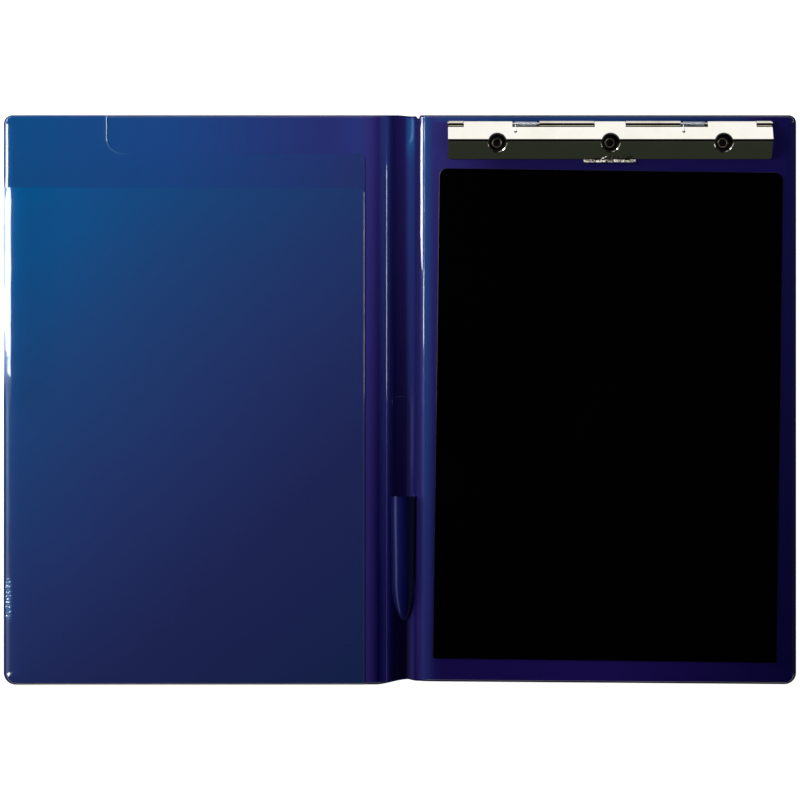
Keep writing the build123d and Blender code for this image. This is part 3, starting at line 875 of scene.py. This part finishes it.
@dataclass
class FrontCover(Leaf):
    """The left leaf, with a pocket of two film sheets on its inner side, and half of the spine's film."""

    name: str = "cover"
    side: str = "front"
    bodies: tuple[Body, Body] = (Body.FRONT_COVER, Body.SPINE)
    body: Body = Body.FRONT_COVER
    outline: Outline = Outline(-237.0, 2.0, -170.4, 170.4, (5.2, 0.0, 0.0, 7.2))
    foot: Outline = Outline(-236.75, 60.0, -169.5, 169.5, (4.4, 0.0, 0.0, 6.4))
    board: Outline = Outline(-230.6, -16.5, -167.0, 167.0, (2.0, 2.0, 2.0, 3.0))
    own_x: Pair = (-math.inf, -20.0)
    fold: Pair = (-10.4, -5.4)
    groove_x: float = -7.9
    board_end: float = -8.6
    tall_right: float = -21.0
    tall_top: float = 147.5
    cut_x: float = -175.2
    cut_radius: float = 9.5
    short_right: float = -21.4
    short_top: float = 126.9
    sheet: float = 0.25
    gap: float = 0.02
    lip: float = 0.32
    crest_x: float = 6.3

    def surface(self, x: Array, y: Array) -> Array:
        """Upper side of the lining film: flat rim, then a rise that dies away inward over the board's edge.

        The rise is its height times one less an exponential of the distance from the foot line, which stands
        further in above the short sheet and low down, and times the same for the board's end at the groove.
        The left side has a gentle first slope, and the ends are near upright. Past the groove the film goes
        on as the spine, with a low ridge beside the groove that starts below the clamp end.

        Args:
            x: Places along X.
            y: Places along Y, before the edges' shift.

        Returns:
            Heights in millimetres.
        """
        bare = ease(118, 130, y)
        in_set = 0.6 * bare + 1.1 * ease(15, 1, y)
        inward, across = self.foot.inward(x - in_set * (x < -200), y)
        slope = across * (0.64 + 0.66 * bare) + (1 - across) * self.end_slope
        wavy = 1 + 0.12 * ripple(x, y, 37.0, 0.4)
        from_rim = 1 - np.exp(-np.maximum(inward, 0) * slope * wavy / self.rise)
        from_groove = 1 - np.exp(-np.maximum(self.board_end - x, 0) * 0.62 * wavy / self.rise)
        past = x - self.groove_x
        ridge = 0.3 * ease(-0.36, 0.18, past) * (1 - ease(0.7, 3.4, past)) * ease(160, 132, y)
        waves = self.wave * ripple(x, y, 61.0, 1.3) * np.clip(inward / 12, 0, 1)
        swell = self.rise * from_rim * from_groove
        return self.rim_z + swell + waves + ridge - corner_drop(self.rim(x, y)[0], FILM_ROUNDING)

    def free_edge(self, x: Array, y: Array) -> Array:
        """Distance from the tall sheet's free edge: down the cut, round its arc, along the top, and down.

        Args:
            x: Places along X.
            y: Places along Y.

        Returns:
            Distances in millimetres.
        """
        arc_x, arc_y = self.cut_x + self.cut_radius, self.tall_top + self.cut_radius
        arc = np.hypot(x - arc_x, y - arc_y) - self.cut_radius
        near_cut = np.where(y > arc_y, self.cut_x - x, np.where(x < arc_x, arc, self.tall_top - y))
        return np.maximum(np.minimum(near_cut, np.where(y < self.tall_top, self.tall_right - x, np.inf)), 0)

    @staticmethod
    def creased(y: Array) -> Array:
        """Where along Y the short sheet is crumpled beside its left weld."""
        return ease(-104, -110, y) * ease(-134, -126, y)

    def bulge(self, x: Array, y: Array) -> Array:
        """Loose swell of the short sheet beside its left weld: straight up to a crest, then a long fall.

        Further down it is lower, and crumpled by crossed sine waves over a short run along Y.

        Args:
            x: Places along X.
            y: Places along Y.

        Returns:
            Heights in millimetres.
        """
        inward = np.maximum(x - self.outline.left, 0)
        t = inward / self.crest_x
        crest = t / (1 + t**6) ** (1 / 6) * (1 - ease(6, 34, inward))
        height = 2.0 - 1.6 * ease(13, -7, y)
        crumpled = self.creased(y) * ease(0.4, 1.6, inward) * (1 - ease(4, 8, inward))
        coarse = np.sin(1.9 * y + 1.3 * x + 1.7 * np.sin(0.53 * y)) * np.sin(0.71 * y - 1.6 * x)
        fine = np.sin(3.3 * y - 0.7 * x) * np.sin(1.9 * x + 1.2 * y)
        wavy = 1 + 0.1 * ripple(x * 0.2, y, 23.0, 0.9)
        return height * crest * wavy + crumpled * (0.17 * coarse + 0.09 * fine)

    def stretch(self, x: Array, y: Array) -> Array:
        """Painted highlight of the films over the board's left edge, and their darkening where they are fused
        at the rim.

        Low down the left side gets less of the highlight, but for the crumpled patch, which is painted paler
        than the rest as a sparkle.

        Args:
            x: Places along X.
            y: Places along Y.

        Returns:
            Numbers from -1 to 1.
        """
        # Painted highlight: pale cyan on the roll over the board's left edge, less of it low down, and a
        # painted sparkle on the crumpled patch; the rim is painted darker.
        inward = x - self.outline.left
        low = ease(18, 8, y)
        amount = (1 - low) * 0.85 + low * (0.16 + 0.3 * np.clip((y + 170) / 190, 0, 1))
        edge_highlight = ease(0.1 + 0.6 * low, 0.9 + low, inward) * (1 - ease(1.6, 3.6, inward)) * ease(134, 126, y)
        pale = 0.8 * self.creased(y) * ease(0.9, 1.9, inward) * (1 - ease(3.4, 5.4, inward))
        outside, across = self.rim(x, y)
        return amount * edge_highlight + pale - fused_rim(outside) * (1 - across * ease(134, 120, y) * (1 - low))

    def build(self) -> None:
        """Builds the films, the board and the pocket, and lets the board and the pocket ride on the cover."""
        rim = grid_lines(self.outline.left, -20.0, FILM_STEP)[: -len(EDGE_LINES)]
        spine = np.concatenate([np.linspace(-30, -16, 8), np.linspace(-15, self.outline.right, 52)])
        columns = np.unique(np.concatenate([rim, spine, self.groove_x + np.linspace(-0.4, 0.4, 11)]))
        grid = self.outline.grid(columns, grid_lines(self.outline.bottom, self.outline.top, FILM_STEP))
        self.build_films(grid, self.surface(*grid), self.stretch(*grid))
        self.build_tall_sheet()
        self.build_short_sheet()

    def build_pocket_sheet(
        self, name: str, plan: Grid, base: Array, stretch: Array, keep: Array | None = None
    ) -> None:
        """Builds one of the pocket's sheets.

        Args:
            name: The sheet's name, without what it shares with the other.
            plan: X and Y of its grid.
            base: Heights of its lower side.
            stretch: Its painted highlight and rim darkening.
            keep: Which cells of the grid are there, or None for all.
        """
        heights = base, base + self.sheet
        finish = self.finishes[f"{name}_sheet"]
        sheet = add_sheet(f"pocket_{name}_film", plan, heights, finish, stretch, keep)
        settle(sheet, self.body, "pocket_film", (f"pocket_{name}_sheet",))

    def build_tall_sheet(self) -> None:
        """Builds the tall sheet, whose grid is pulled up to the cut's arc and on to the top beside it."""
        cut, top, radius = self.cut_x, self.outline.top, self.cut_radius
        beside = np.array([0.15, 0.4, 0.8, 1.4, 2.2, 3.2, 4.4, 5.8, 7.5, 9.5])
        fine = np.unique(np.concatenate([cut - EDGE_LINES[8::-1], cut + beside]))
        below = grid_lines(self.outline.bottom, self.tall_top, FILM_STEP)
        rows = np.unique(np.concatenate([below, top - EDGE_LINES]))
        columns = grid_lines(self.outline.left, self.tall_right, FILM_STEP, (fine,))
        x, y = np.meshgrid(columns, rows, indexing="ij")
        centre_x = cut + radius
        climb = radius - np.sqrt(np.maximum(radius**2 - np.clip(centre_x - x, 0, radius) ** 2, 0))
        to_top = np.clip((top - y) / (top - self.tall_top), 0, 1)
        from_below = np.clip((y - self.tall_top + SQUEEZE) / SQUEEZE, 0, 1)
        _, squeezed = self.outline.grid(columns, rows)
        moved = squeezed + climb * np.minimum(to_top, from_below) + end_shift(x, y)
        moved -= from_below * (y <= self.tall_top) * corner_drop(self.tall_right - x, 3.0)
        middle_x, middle_y = ((d[:-1, :-1] + d[1:, 1:]) / 2 for d in (x, y))
        keep = (middle_x <= cut) | (middle_y <= self.tall_top)
        by_top = (moved > self.tall_top - 3) * (x < self.tall_right - 4)
        along_top = ease(centre_x - 4, centre_x + 4, x) * by_top
        by_edge = ease(self.tall_right - 6, self.tall_right - 2, x)
        near = np.exp(-self.free_edge(x, moved) / 0.5)
        low_top, low_edge = 1 - 0.75 * along_top, 1 - by_edge * (1 - 0.4 * ease(120, 132, y))
        base = self.surface(x, moved) + self.lip * low_top * low_edge * near
        # Painted highlight along the cut and round its arc.
        cut_edge = 0.9 * (1 - along_top) * (1 - by_edge) * near * (x < centre_x + 6)
        stretch = np.maximum(self.stretch(x, y), cut_edge)
        self.build_pocket_sheet("tall", (x, moved), base + self.gap, stretch, keep)

    def build_short_sheet(self) -> None:
        """Builds the short sheet, which lies on the tall one and bulges beside its left weld."""
        low, left = self.outline.bottom, self.outline.left
        plan = Outline(left, self.short_right, low, self.short_top, (0.0, 3.0, 1.0, self.outline.radii[3]))
        rows = grid_lines(low, self.short_top, FILM_STEP * 0.7, (np.linspace(-136, -102, 104),))
        x, y = plan.grid(grid_lines(left, self.short_right, FILM_STEP), rows)
        y = y + end_shift(x, y)
        lip_right = self.lip * np.exp(-np.maximum(self.short_right - x, 0) / 0.45)
        lip_top = 0.06 * np.exp(-np.maximum(self.short_top - y, 0) / 0.6)
        base = self.surface(x, y) + self.bulge(x, y) + np.maximum(lip_right, lip_top)
        self.build_pocket_sheet("short", (x, y), base + 2 * self.gap + self.sheet, self.stretch(x, y))


@dataclass
class BackPanel(Leaf):
    """The right leaf, with a black writing sheet on it and half of the spine's film."""

    name: str = "panel"
    side: str = "back"
    bodies: tuple[Body, Body] = (Body.SPINE, Body.BACK_PANEL)
    body: Body = Body.BACK_PANEL
    outline: Outline = Outline(2.0, 237.0, -170.4, 170.4, (0.0, 4.5, 7.0, 0.0))
    foot: Outline = Outline(-40.0, 236.0, -169.5, 169.5, (0.0, 3.6, 6.0, 0.0))
    board: Outline = Outline(17.6, 230.8, -167.0, 167.0, (2.0, 2.5, 4.0, 2.0))
    own_x: Pair = (30.0, math.inf)
    fold: Pair = (9.4, 14.0)
    groove_x: float = 12.2
    plate: Outline = Outline(21.6, 227.0, -155.6, 137.2, (4.8, 4.8, 1.0, 1.0))
    plate_turn: float = 0.75
    plate_z: Pair = (2.84, 3.3)
    plate_rounding: float = 0.2
    plate_step: float = 12.0

    def surface(self, x: Array, y: Array) -> Array:
        """Upper side of the lining film: the spine's slope and crest, the groove, and the board's edge.

        The rise beside the groove is a steep run and a gentle one, each straight and then level by a soft
        bend. The steep run starts further in lower down, and a low fold lies beside it. The rise from the rim
        is one less an exponential of the distance from the foot line. In the groove's clamp end the film is
        crumpled, by two crossed sine waves.

        Args:
            x: Places along X.
            y: Places along Y, before the edges' shift.

        Returns:
            Heights in millimetres.
        """
        inward, across = self.foot.inward(x, y)
        slope = across * 0.8 + (1 - across) * self.end_slope
        from_rim = 1 - np.exp(-np.maximum(inward, 0) * slope / self.rise)
        past = np.maximum(x - self.groove_x, 0)
        wavy = 1 + 0.06 * ripple(x * 0.1, y, 19.0, 0.5)
        late = 0.02 + 1.15 * ease(98, 66, y)
        steep = 0.4 * (self.run(past, 1.55) - self.run(past, late))
        line = 13.9 + 0.5 * ease(68, 92, y)
        fold = 0.15 * ease(line, line + 0.6, x) * (0.45 + 0.55 * ease(-90, 60, y)) * ease(-160, -120, y)
        gentle = 0.36 * self.run(past, 4.2)
        swell = from_rim * np.minimum((steep + gentle) * wavy + fold, self.rise)
        start = 5.6 - 2.8 * ease(0, 14, y) + 3.1 * ease(151, 159, y)
        crest = ease(start, 8.9, x) * (1 - ease(8.9, 12.0, x))
        height = 0.35 + np.where(y > -56, 0.75 * ease(-56, -40, y), 0.5 * ease(-134, -150, y))
        crumpled = ease(9.2, 10.2, x) * (1 - ease(12.4, 13.4, x)) * ease(161, 166, y)
        crumple = 0.3 * crumpled * np.sin(2.9 * x + 1.9 * y) * np.sin(1.4 * x - 2.6 * y + 0.6)
        waves = self.wave * ripple(x, y, 57.0, 2.2) * np.clip(inward / 12, 0, 1)
        rounding = corner_drop(self.rim(x, y)[0], FILM_ROUNDING)
        return self.rim_z + swell + crest * height + waves + crumple - rounding

    @staticmethod
    def run(past: Array, length: float | Array) -> Array:
        """A climb of slope one up to a length: t over the fifth root of one plus its fifth power."""
        t = past / length
        return length * t / (1 + t**5) ** 0.2

    def stretch(self, x: Array, y: Array) -> Array:
        """Painted highlight of the lining: behind the clamp, beside the groove, and over the spine's crest.

        At the rim, where it is fused to the outer film, it is painted darker.

        Args:
            x: Places along X.
            y: Places along Y.

        Returns:
            Numbers from -1 to 1.
        """
        # Painted highlight: a pale band along the top edge behind the clamp, a glow beside the raised edge at
        # the groove, and a lit band on the spine's crest; the rim is painted darker.
        upward = np.clip((y + 150) / 308, 0, 1)
        fading = 1 - 0.5 * ease(120, 190, x) - 0.5 * ease(196, 220, x)
        behind = 0.5 * ease(165.4, 167.2, y) * ease(17, 24, x) * fading
        edge = ease(12, 14.4, x) * (1 - ease(16.2, 20.6, x)) * (0.1 + 0.6 * upward)
        crest = ease(2.6, 5.4, x) * (1 - ease(8.2, 9.2, x)) * upward**3 * (0.35 + 0.65 * ease(140, 156, y))
        outside, _ = self.rim(x, y)
        return np.maximum(np.maximum(behind, edge), crest) * (outside > 1) - fused_rim(outside)

    def build(self) -> None:
        """Builds the films, the board and the writing sheet, and lets the board and the writing sheet ride on
        the panel.
        """
        left, right = self.outline.left, self.outline.right
        rings = [HoleRing((place, HOLES_Y)) for place in HOLES_X]
        far = grid_lines(20.0, right, FILM_STEP, [ring.lines(0) for ring in rings])
        near = np.concatenate([np.linspace(left, 20, 61), np.linspace(21, 34, 8)])
        columns = np.unique(np.concatenate([near, far[far > 36]]))
        rows = grid_lines(self.outline.bottom, self.outline.top, FILM_STEP, (rings[0].lines(1),))
        grid = self.outline.grid(columns, rows)
        self.build_films(grid, self.surface(*grid), self.stretch(*grid), rings)
        self.build_plate()

    def build_plate(self) -> None:
        """Builds the writing sheet: flat and laid on askew, with its upper edges rounded."""
        plan = self.plate
        low, high = self.plate_z
        spans = (plan.left, plan.right), (plan.bottom, plan.top)
        x, y = plan.grid(*(grid_lines(*span, self.plate_step) for span in spans))
        upper = high - corner_drop(np.maximum(plan.inward(x, y)[0], 0), self.plate_rounding)
        turn = -math.radians(self.plate_turn)
        middle_x, middle_y = plan.middle
        dx, dy = x - middle_x, y - middle_y
        x_turned = middle_x + dx * math.cos(turn) - dy * math.sin(turn)
        y_turned = middle_y + dx * math.sin(turn) + dy * math.cos(turn)
        sheet = add_sheet("writing_sheet", (x_turned, y_turned), (low, upper), self.finishes["plate"])
        settle(sheet, self.body, "plate_film", ("writing_plate",))


@dataclass
class Spine:
    """What is welded on the spine: a half-round pen sheath and the film strip behind it."""

    finishes: Materials
    strip: Outline = Outline(-4.9, 5.3, -103.5, 2.2, (4.0, 4.0, 0.0, 0.0))
    strip_z: Pair = (0.82, 1.1)
    strip_rounding: float = 0.12
    centre: float = 2.2
    half_width: float = 6.75
    flange: float = 1.0
    wall: float = 0.35
    foot_z: float = 1.15
    height: float = 5.0
    mouth: float = -57.5
    shoulder: float = -106.0
    tip: float = -131.6
    tip_half: float = 0.45
    tip_rise: float = 0.12
    steps: int = 33

    def build(self) -> None:
        """Builds the strip and the sheath, which ride on the spine."""
        low, high = self.strip_z
        plan = self.strip
        ends = np.array([0, 0.08, 0.2, 0.5, 1.0, 1.7, 2.6, 3.8])
        columns = np.concatenate([plan.left + ends, [0.5], plan.right - ends[::-1]])
        rows = np.concatenate([plan.bottom + np.linspace(0, 90, 24), plan.top - ends[::-1]])
        x, y = plan.grid(columns, rows)
        upper = high - corner_drop(np.maximum(plan.inward(x, y)[0], 0), self.strip_rounding)
        strip = add_sheet("sheath_backing_film", (x, y), (low, upper), self.finishes["lining"])
        settle(strip, Body.SPINE, "lining_film", ("pen_sheath_backing",))
        skins = np.stack([self.skin(0.0), self.skin(self.wall)])
        faces = sheet_faces(skins.shape[1:3])
        sheath = add_piece("pen_sheath_film", skins.reshape(-1, 3), faces, self.finishes["sheath"])
        settle(sheath, Body.SPINE, "lining_film", ("pen_sheath",))

    def skin(self, inset: float) -> Array:
        """One side of the sheath's wall: a half superellipse across, with a flat flange at each foot.

        Across, the place follows the cosine and the height the sine of an angle, each to a power below one.
        Along, the half width and height fall from the shoulder to the tip as a superellipse does, and the lip
        flares a little.

        Args:
            inset: How far this side lies inside the outer one.

        Returns:
            Points by their place across, their place along, and axis.
        """
        runs = np.linspace(0, 0.36, 26)[:-1], np.linspace(0.36, 0.97, 25), 1 - np.geomspace(0.025, 1e-3, 11)
        y = self.tip + (self.mouth - self.tip) * np.concatenate(runs)
        fall = np.clip((self.shoulder - y) / (self.shoulder - self.tip), 0, 1)
        narrow = np.maximum(1 - fall**2.1, 0.0) ** 0.62
        low = np.maximum(1 - fall**1.7, 0.0) ** 0.75
        flare = 0.25 * np.exp(-np.maximum(self.mouth - y, 0) / 1.0) - inset
        full = self.half_width - self.tip_half - 0.5 * ease(self.mouth, self.shoulder, y)
        half = self.tip_half + full * narrow + flare
        rise = self.tip_rise + (self.height - self.tip_rise) * low + flare
        angle = np.linspace(math.pi, 0, self.steps)[:, None]
        cosine = np.sign(np.cos(angle)) * np.abs(np.cos(angle)) ** 0.86
        sine = np.abs(np.sin(angle)) ** 0.86
        foot_z = self.foot_z - inset * 0.9
        arch_x = self.centre + 0.6 * fall**2 + cosine * half
        width = self.flange * (0.4 + 0.6 * narrow)
        left = np.stack([arch_x[0] - width, arch_x[0] - 0.5 * width]) - inset
        right = np.stack([arch_x[-1] + 0.5 * width, arch_x[-1] + width]) + inset
        foot = np.full((2, len(y)), foot_z)
        x = np.concatenate([left, arch_x, right])
        z = np.concatenate([foot, foot_z + sine * rise, foot])
        ragged = 0.22 * np.sin(1.9 * x) + 0.12 * np.sin(5.3 * x + 1.0)
        return np.stack([x, y + ragged * ease(self.mouth - 6, self.mouth, y), z], -1)


# The clamp


@dataclass
class TorsionSpring:
    """A close-wound spring round the hinge pin: foot on the base plate, hook in the lever."""

    name: str
    node: str
    hook_x: float
    foot_x: float
    turns: int = 17
    axis: Pair = (164.5, 4.85)
    coil: float = 1.45
    radius: float = 0.34
    foot_length: float = 9.0
    foot_step: float = 0.75
    hook_length: float = 5.85
    hook_step: float = 0.76
    hook_bend: float = 0.55
    sides: int = 10
    crease: float = 70.0

    def path(self) -> Array:
        """Middle line of the wire: in along the base, round the pin, and out over the lever to its hole.

        The coil is a helix about the pin. Each leg leaves it on the tangent and steps over to its plate by a
        smooth step. The hook ends in a quarter circle and a short straight down through the hole.

        Returns:
            Points in millimetres.
        """
        reach = np.linspace(self.foot_length, 0.0, 18, endpoint=False)
        foot = np.stack([reach, -self.coil + self.foot_step * ease(0.4, 2.4, reach)])
        sweep = math.radians(360 * self.turns + 180 - REAR_SLOPE)
        share = np.linspace(0, 1, self.turns * 20)
        angle = -math.pi / 2 - sweep * share
        helix = self.coil * np.stack([np.cos(angle), np.sin(angle)])
        lean = math.radians(REAR_SLOPE)
        along = np.array([math.cos(lean), math.sin(lean)])
        above = np.array([-math.sin(lean), math.cos(lean)])
        run = np.linspace(0, self.hook_length, 20)[1:]
        lift = self.coil + self.hook_step * ease(0.3, 2.2, run)
        turn = np.radians([15, 30, 45, 60, 75, 90])
        end, bend, over = self.hook_length, self.hook_bend, self.coil + self.hook_step
        run = np.concatenate([run, end + bend * np.sin(turn), [end + bend, end + bend]])
        lift = np.concatenate([lift, over - bend * (1 - np.cos(turn)), [1.3, 0.95]])
        hook = along[:, None] * run + above[:, None] * lift
        flat = np.concatenate([foot, helix, hook], axis=1)
        steps = np.concatenate([np.zeros(foot.shape[1]), share, np.ones(hook.shape[1])])
        x = self.foot_x + (self.hook_x - self.foot_x) * steps
        return np.stack([x, self.axis[0] - flat[0], self.axis[1] + flat[1]], -1)

    def build(self, finish: bpy.types.Material) -> None:
        """Builds the spring, which lies between the lever and the panel.

        Args:
            finish: The wire's material.
        """
        points, faces = wire(self.path(), self.radius, self.sides)
        spring = add_piece(self.name, points, faces, finish, self.crease)
        settle_between(spring, (self.node,))


@dataclass
class HoleRim:
    """The edge of an access hole in the lever: a burr, a dark cut edge of painted shade, and the rivet's
    rolled edge below.

    The burr and the cut edge follow the lever's upper side, as a profile of radii and lifts, which are given
    for the hole's lower half and for the rest. The roll, painted pale as a highlight, and the floor, a disc
    of painted shade, are profiles of radii and heights.
    """

    name: str
    x: float
    burr: tuple[Place, ...] = (
        (6.12, -0.05, -0.02),
        (5.97, 0.56, 0.05),
        (5.5, 0.07, 0.06),
        (5.5, -0.5, -0.5),
        (6.12, -0.5, -0.5),
    )
    cut: tuple[Place, ...] = ((5.5, 0.05, 0.05), (4.8, 0.05, 0.05), (4.8, -0.5, -0.5), (5.5, -0.5, -0.5))
    roll: tuple[Pair, ...] = (
        (2.95, 4.35),
        (2.8, 4.75),
        (2.55, 4.9),
        (2.3, 4.75),
        (2.15, 4.5),
        (2.15, 4.2),
        (2.95, 4.1),
    )
    floor: tuple[Pair, ...] = ((2.2, 4.62), (0.05, 4.6), (0.05, 4.3), (2.2, 4.3))
    ridge: Pair = (154.3, 11.85)
    front_slope: float = 40.07
    half_sheet: float = 0.4
    rounding: float = 1.7
    top: float = 11.93
    sides: int = 96

    def roof(self, y: Array) -> Array:
        """Height of the lever's upper side: the lower of its two slopes, by a soft minimum over the ridge.

        Args:
            y: Places along Y.

        Returns:
            Heights in millimetres.
        """
        away = y - self.ridge[0]
        rear, front = math.radians(REAR_SLOPE), math.radians(self.front_slope)
        behind = self.ridge[1] + self.half_sheet / math.cos(rear) - away * math.tan(rear)
        ahead = self.ridge[1] + self.half_sheet / math.cos(front) + away * math.tan(front)
        return -np.logaddexp(-self.rounding * behind, -self.rounding * ahead) / self.rounding

    def build(self, finishes: Materials) -> None:
        """Builds the burr and the cut edge of painted shade, which ride on the lever, and the rivet's roll
        and a floor of painted shade below.

        Args:
            finishes: The part's materials.
        """
        turn = np.linspace(0, 2 * math.pi, self.sides, endpoint=False)[:, None]
        lower = ease(0.0, -0.3, np.sin(turn))
        # The cut edge and the rivet's floor are painted shade in the holes, and the roll is painted pale as a
        # highlight.
        parts = (
            ("burr", self.burr, "lever"),
            ("cut_edge", self.cut, "painted_hole_shade"),
            ("rivet_roll", self.roll, "rolled"),
            ("rivet_bore_painted_shade", self.floor, "painted_hole_shade"),
        )
        for part, profile, finish in parts:
            radii, *levels = np.array(profile).T
            x, y = self.x + np.cos(turn) * radii, HOLES_Y + np.sin(turn) * radii
            if len(levels) == 2:
                z = np.minimum(self.roof(y) + lower * levels[0] + (1 - lower) * levels[1], self.top)
                place = Body.CLAMP_LEVER, "lever_steel"
            else:
                z = np.broadcast_to(levels[0], x.shape)
                place = Body.BACK_PANEL, "rivet_steel"
            settle(add_piece(f"{self.name}_{part}", *turned(x, y, z), finishes[finish]), *place)


@dataclass
class Clamp:
    """The spring clamp: lever, base, pin and rivets as the CAD part has them, two springs, three rims."""

    finishes: Materials
    nodes: dict[str, bpy.types.Object]
    springs: tuple[TorsionSpring, ...] = (
        TorsionSpring("torsion_spring_left", "spring_left", 68.75, 81.55),
        TorsionSpring("torsion_spring_right", "spring_right", 168.85, 181.65),
    )
    rims: tuple[HoleRim, ...] = tuple(
        HoleRim(f"hole_rim_{side}", x) for side, x in zip(("left", "middle", "right"), HOLES_X)
    )
    steel: tuple[tuple[str, str], ...] = (
        ("clamp_lever", "lever"),
        ("clamp_base", "base"),
        ("hinge_pin", "pin"),
        ("rivets", "rivet"),
    )

    def build(self) -> None:
        """Dresses the steel nodes, winds the springs and turns the holes' rims."""
        for node, finish in self.steel:
            self.nodes[node].data.materials.clear()
            self.nodes[node].data.materials.append(self.finishes[finish])
            log.info("%s: CAD node, %s", node, self.finishes[finish].name)
        for spring in self.springs:
            spring.build(self.finishes["spring"])
        for rim in self.rims:
            rim.build(self.finishes)


# The studio


@dataclass(frozen=True)
class Softbox:
    """A rectangular lamp that the camera doesn't see: a window for gloss, a fill for matt, or both."""

    name: str
    place: Place
    aim: Place
    size: Pair
    radiance: float
    in_gloss: bool = True
    in_matt: bool = True

    def build(self) -> None:
        """Adds the lamp, with the power that gives its radiance: pi times its area times that."""
        light = bpy.data.lights.new(self.name, "AREA")
        light.shape = "RECTANGLE"
        light.size, light.size_y = self.size
        light.energy = self.radiance * math.pi * self.size[0] * self.size[1]
        lamp = bpy.data.objects.new(self.name, light)
        bpy.context.scene.collection.objects.link(lamp)
        lamp.location = self.place
        lamp.rotation_mode = "QUATERNION"
        lamp.rotation_quaternion = (Vector(self.aim) - Vector(self.place)).to_track_quat("-Z", "Y")
        lamp.visible_camera = False
        lamp.visible_glossy = self.in_gloss
        lamp.visible_diffuse = self.in_matt
        log.info("%s: radiance %.1f", self.name, self.radiance)


@dataclass
class Studio:
    """Floor, surroundings, lamps and camera. The lamps' sizes are in metres."""

    view: float = 478.0
    camera_height: float = 1500.0
    face_z: float = 2.8
    sensor: float = 36.0
    floor_half: float = 15000.0
    floor_z: Pair = (-5.1, -0.1)
    floor_glow: float = 0.92
    lamps: tuple[Softbox, ...] = (
        Softbox("window_low", (-0.92, 0.545, 0.3), (0.0, 0.2, 0.05), (1.12, 0.56), 14.5, in_matt=False),
        Softbox("window_lower_side", (-0.92, -0.35, 0.3), (0.0, -0.1, 0.05), (0.8, 0.5), 0.5, in_matt=False),
        Softbox("wall_behind", (0.1, 1.25, 0.75), (0.1, 0.0, 0.0), (2.2, 1.1), 0.3),
        Softbox("fill_left", (-0.75, 0.4, 0.6), (0.0, 0.0, 0.0), (0.5, 0.5), 13.9, in_gloss=False),
        Softbox("fill_right", (0.6, 0.0, 0.7), (0.1, 0.0, 0.0), (0.5, 0.8), 2.65, in_gloss=False),
    )
    white_way: Place = (-0.35, 0.94, 0.0)
    room: Stops = (
        (0.12, "#2A3026"),
        (0.25, "#2E3329"),
        (0.45, "#4A4A44"),
        (0.6, "#2C2C28"),
        (0.8, "#0D0D0D"),
    )

    def build(self) -> None:
        """Builds all of the studio."""
        self.build_floor()
        self.build_world()
        for lamp in self.lamps:
            lamp.build()
        self.build_camera()
        bpy.context.scene.view_settings.view_transform = "Standard"

    def build_floor(self) -> None:
        """Builds the floor, pale by its own colour and white to the camera and to gloss, with the shadow."""
        material, add = new_material("studio_floor_white")
        path = add("LightPath").outputs
        seen = add("Math", {0: path["Is Camera Ray"], 1: path["Is Glossy Ray"]}, operation="MAXIMUM")
        seen = add("Math", {0: seen, 1: path["Is Transmission Ray"]}, operation="MAXIMUM")
        shine = add("Math", {0: seen, 1: self.floor_glow}, operation="MULTIPLY")
        own = add("Emission", {"Color": linear("#FFFFFF"), "Strength": shine})
        both = add("AddShader", {0: own, 1: add("BsdfDiffuse", {"Color": linear("#9C9C9C")})})
        add("OutputMaterial", {"Surface": both})
        ends = [-self.floor_half, self.floor_half]
        plan = np.meshgrid(ends, ends, indexing="ij")
        floor = add_sheet("studio_floor", plan, self.floor_z, material)

    def build_world(self) -> None:
        """Builds the surroundings: white to the camera, and in gloss pale low down behind and to the left.

        Elsewhere gloss shows a dark room, a little lighter and greener towards the horizon.
        """
        world = bpy.data.worlds.new("studio_surroundings")
        bpy.context.scene.world = world
        world.use_nodes = True
        world.node_tree.nodes.clear()
        add = partial(add_node, world.node_tree)
        smooth = {"interpolation_type": "SMOOTHSTEP"}
        way = add("TexCoord").outputs["Generated"]
        side = add("VectorMath", {0: way, 1: self.white_way}, operation="DOT_PRODUCT")
        toward = add("MapRange", {"Value": side, "From Min": 0.38, "From Max": 0.6}, **smooth)
        up = add("SeparateXYZ", {"Vector": way}).outputs["Z"]
        low = add("MapRange", {"Value": up, "From Min": 0.93, "From Max": 0.68}, **smooth)
        pale = add("Math", {0: toward, 1: low}, operation="MULTIPLY")
        path = add("LightPath").outputs
        gloss = add("Math", {0: path["Is Glossy Ray"], 1: path["Is Transmission Ray"]}, operation="MAXIMUM")
        shown = add("Math", {0: gloss, 1: pale}, operation="MULTIPLY")
        white = add("Math", {0: shown, 1: path["Is Camera Ray"]}, operation="MAXIMUM")
        room = add("ValToRGB", {"Fac": up}, self.room)
        seen = add("Mix", {0: white, 6: room, 7: linear("#FFFFFF")}, data_type="RGBA")
        add("OutputWorld", {"Surface": add("Background", {"Color": seen})})

    def build_camera(self) -> None:
        """Puts the camera straight above, with the lens that shows the view's width in the frame's pixels."""
        data = bpy.data.cameras.new("camera_above")
        data.sensor_width = self.sensor
        data.lens = self.sensor * self.camera_height / self.view
        data.clip_start, data.clip_end = 0.05, 100.0
        camera = bpy.data.objects.new("camera_above", data)
        bpy.context.scene.collection.objects.link(camera)
        camera.location = (0.0, 0.0, (self.camera_height + self.face_z) * MM)
        bpy.context.scene.camera = camera
        log.info("camera: %.3f mm in a pixel of %d", self.view / FRAME_PIXELS, FRAME_PIXELS)


def main() -> None:
    """Loads the frame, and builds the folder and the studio."""
    logging.basicConfig(level=logging.INFO, format="%(name)s: %(message)s")
    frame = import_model()
    finishes = {field.name: field.default.material() for field in fields(Finishes)}
    FrontCover(finishes).build()
    BackPanel(finishes).build()
    Spine(finishes).build()
    Clamp(finishes, frame["nodes"]).build()
    Studio().build()


if __name__ == "__main__":
    main()
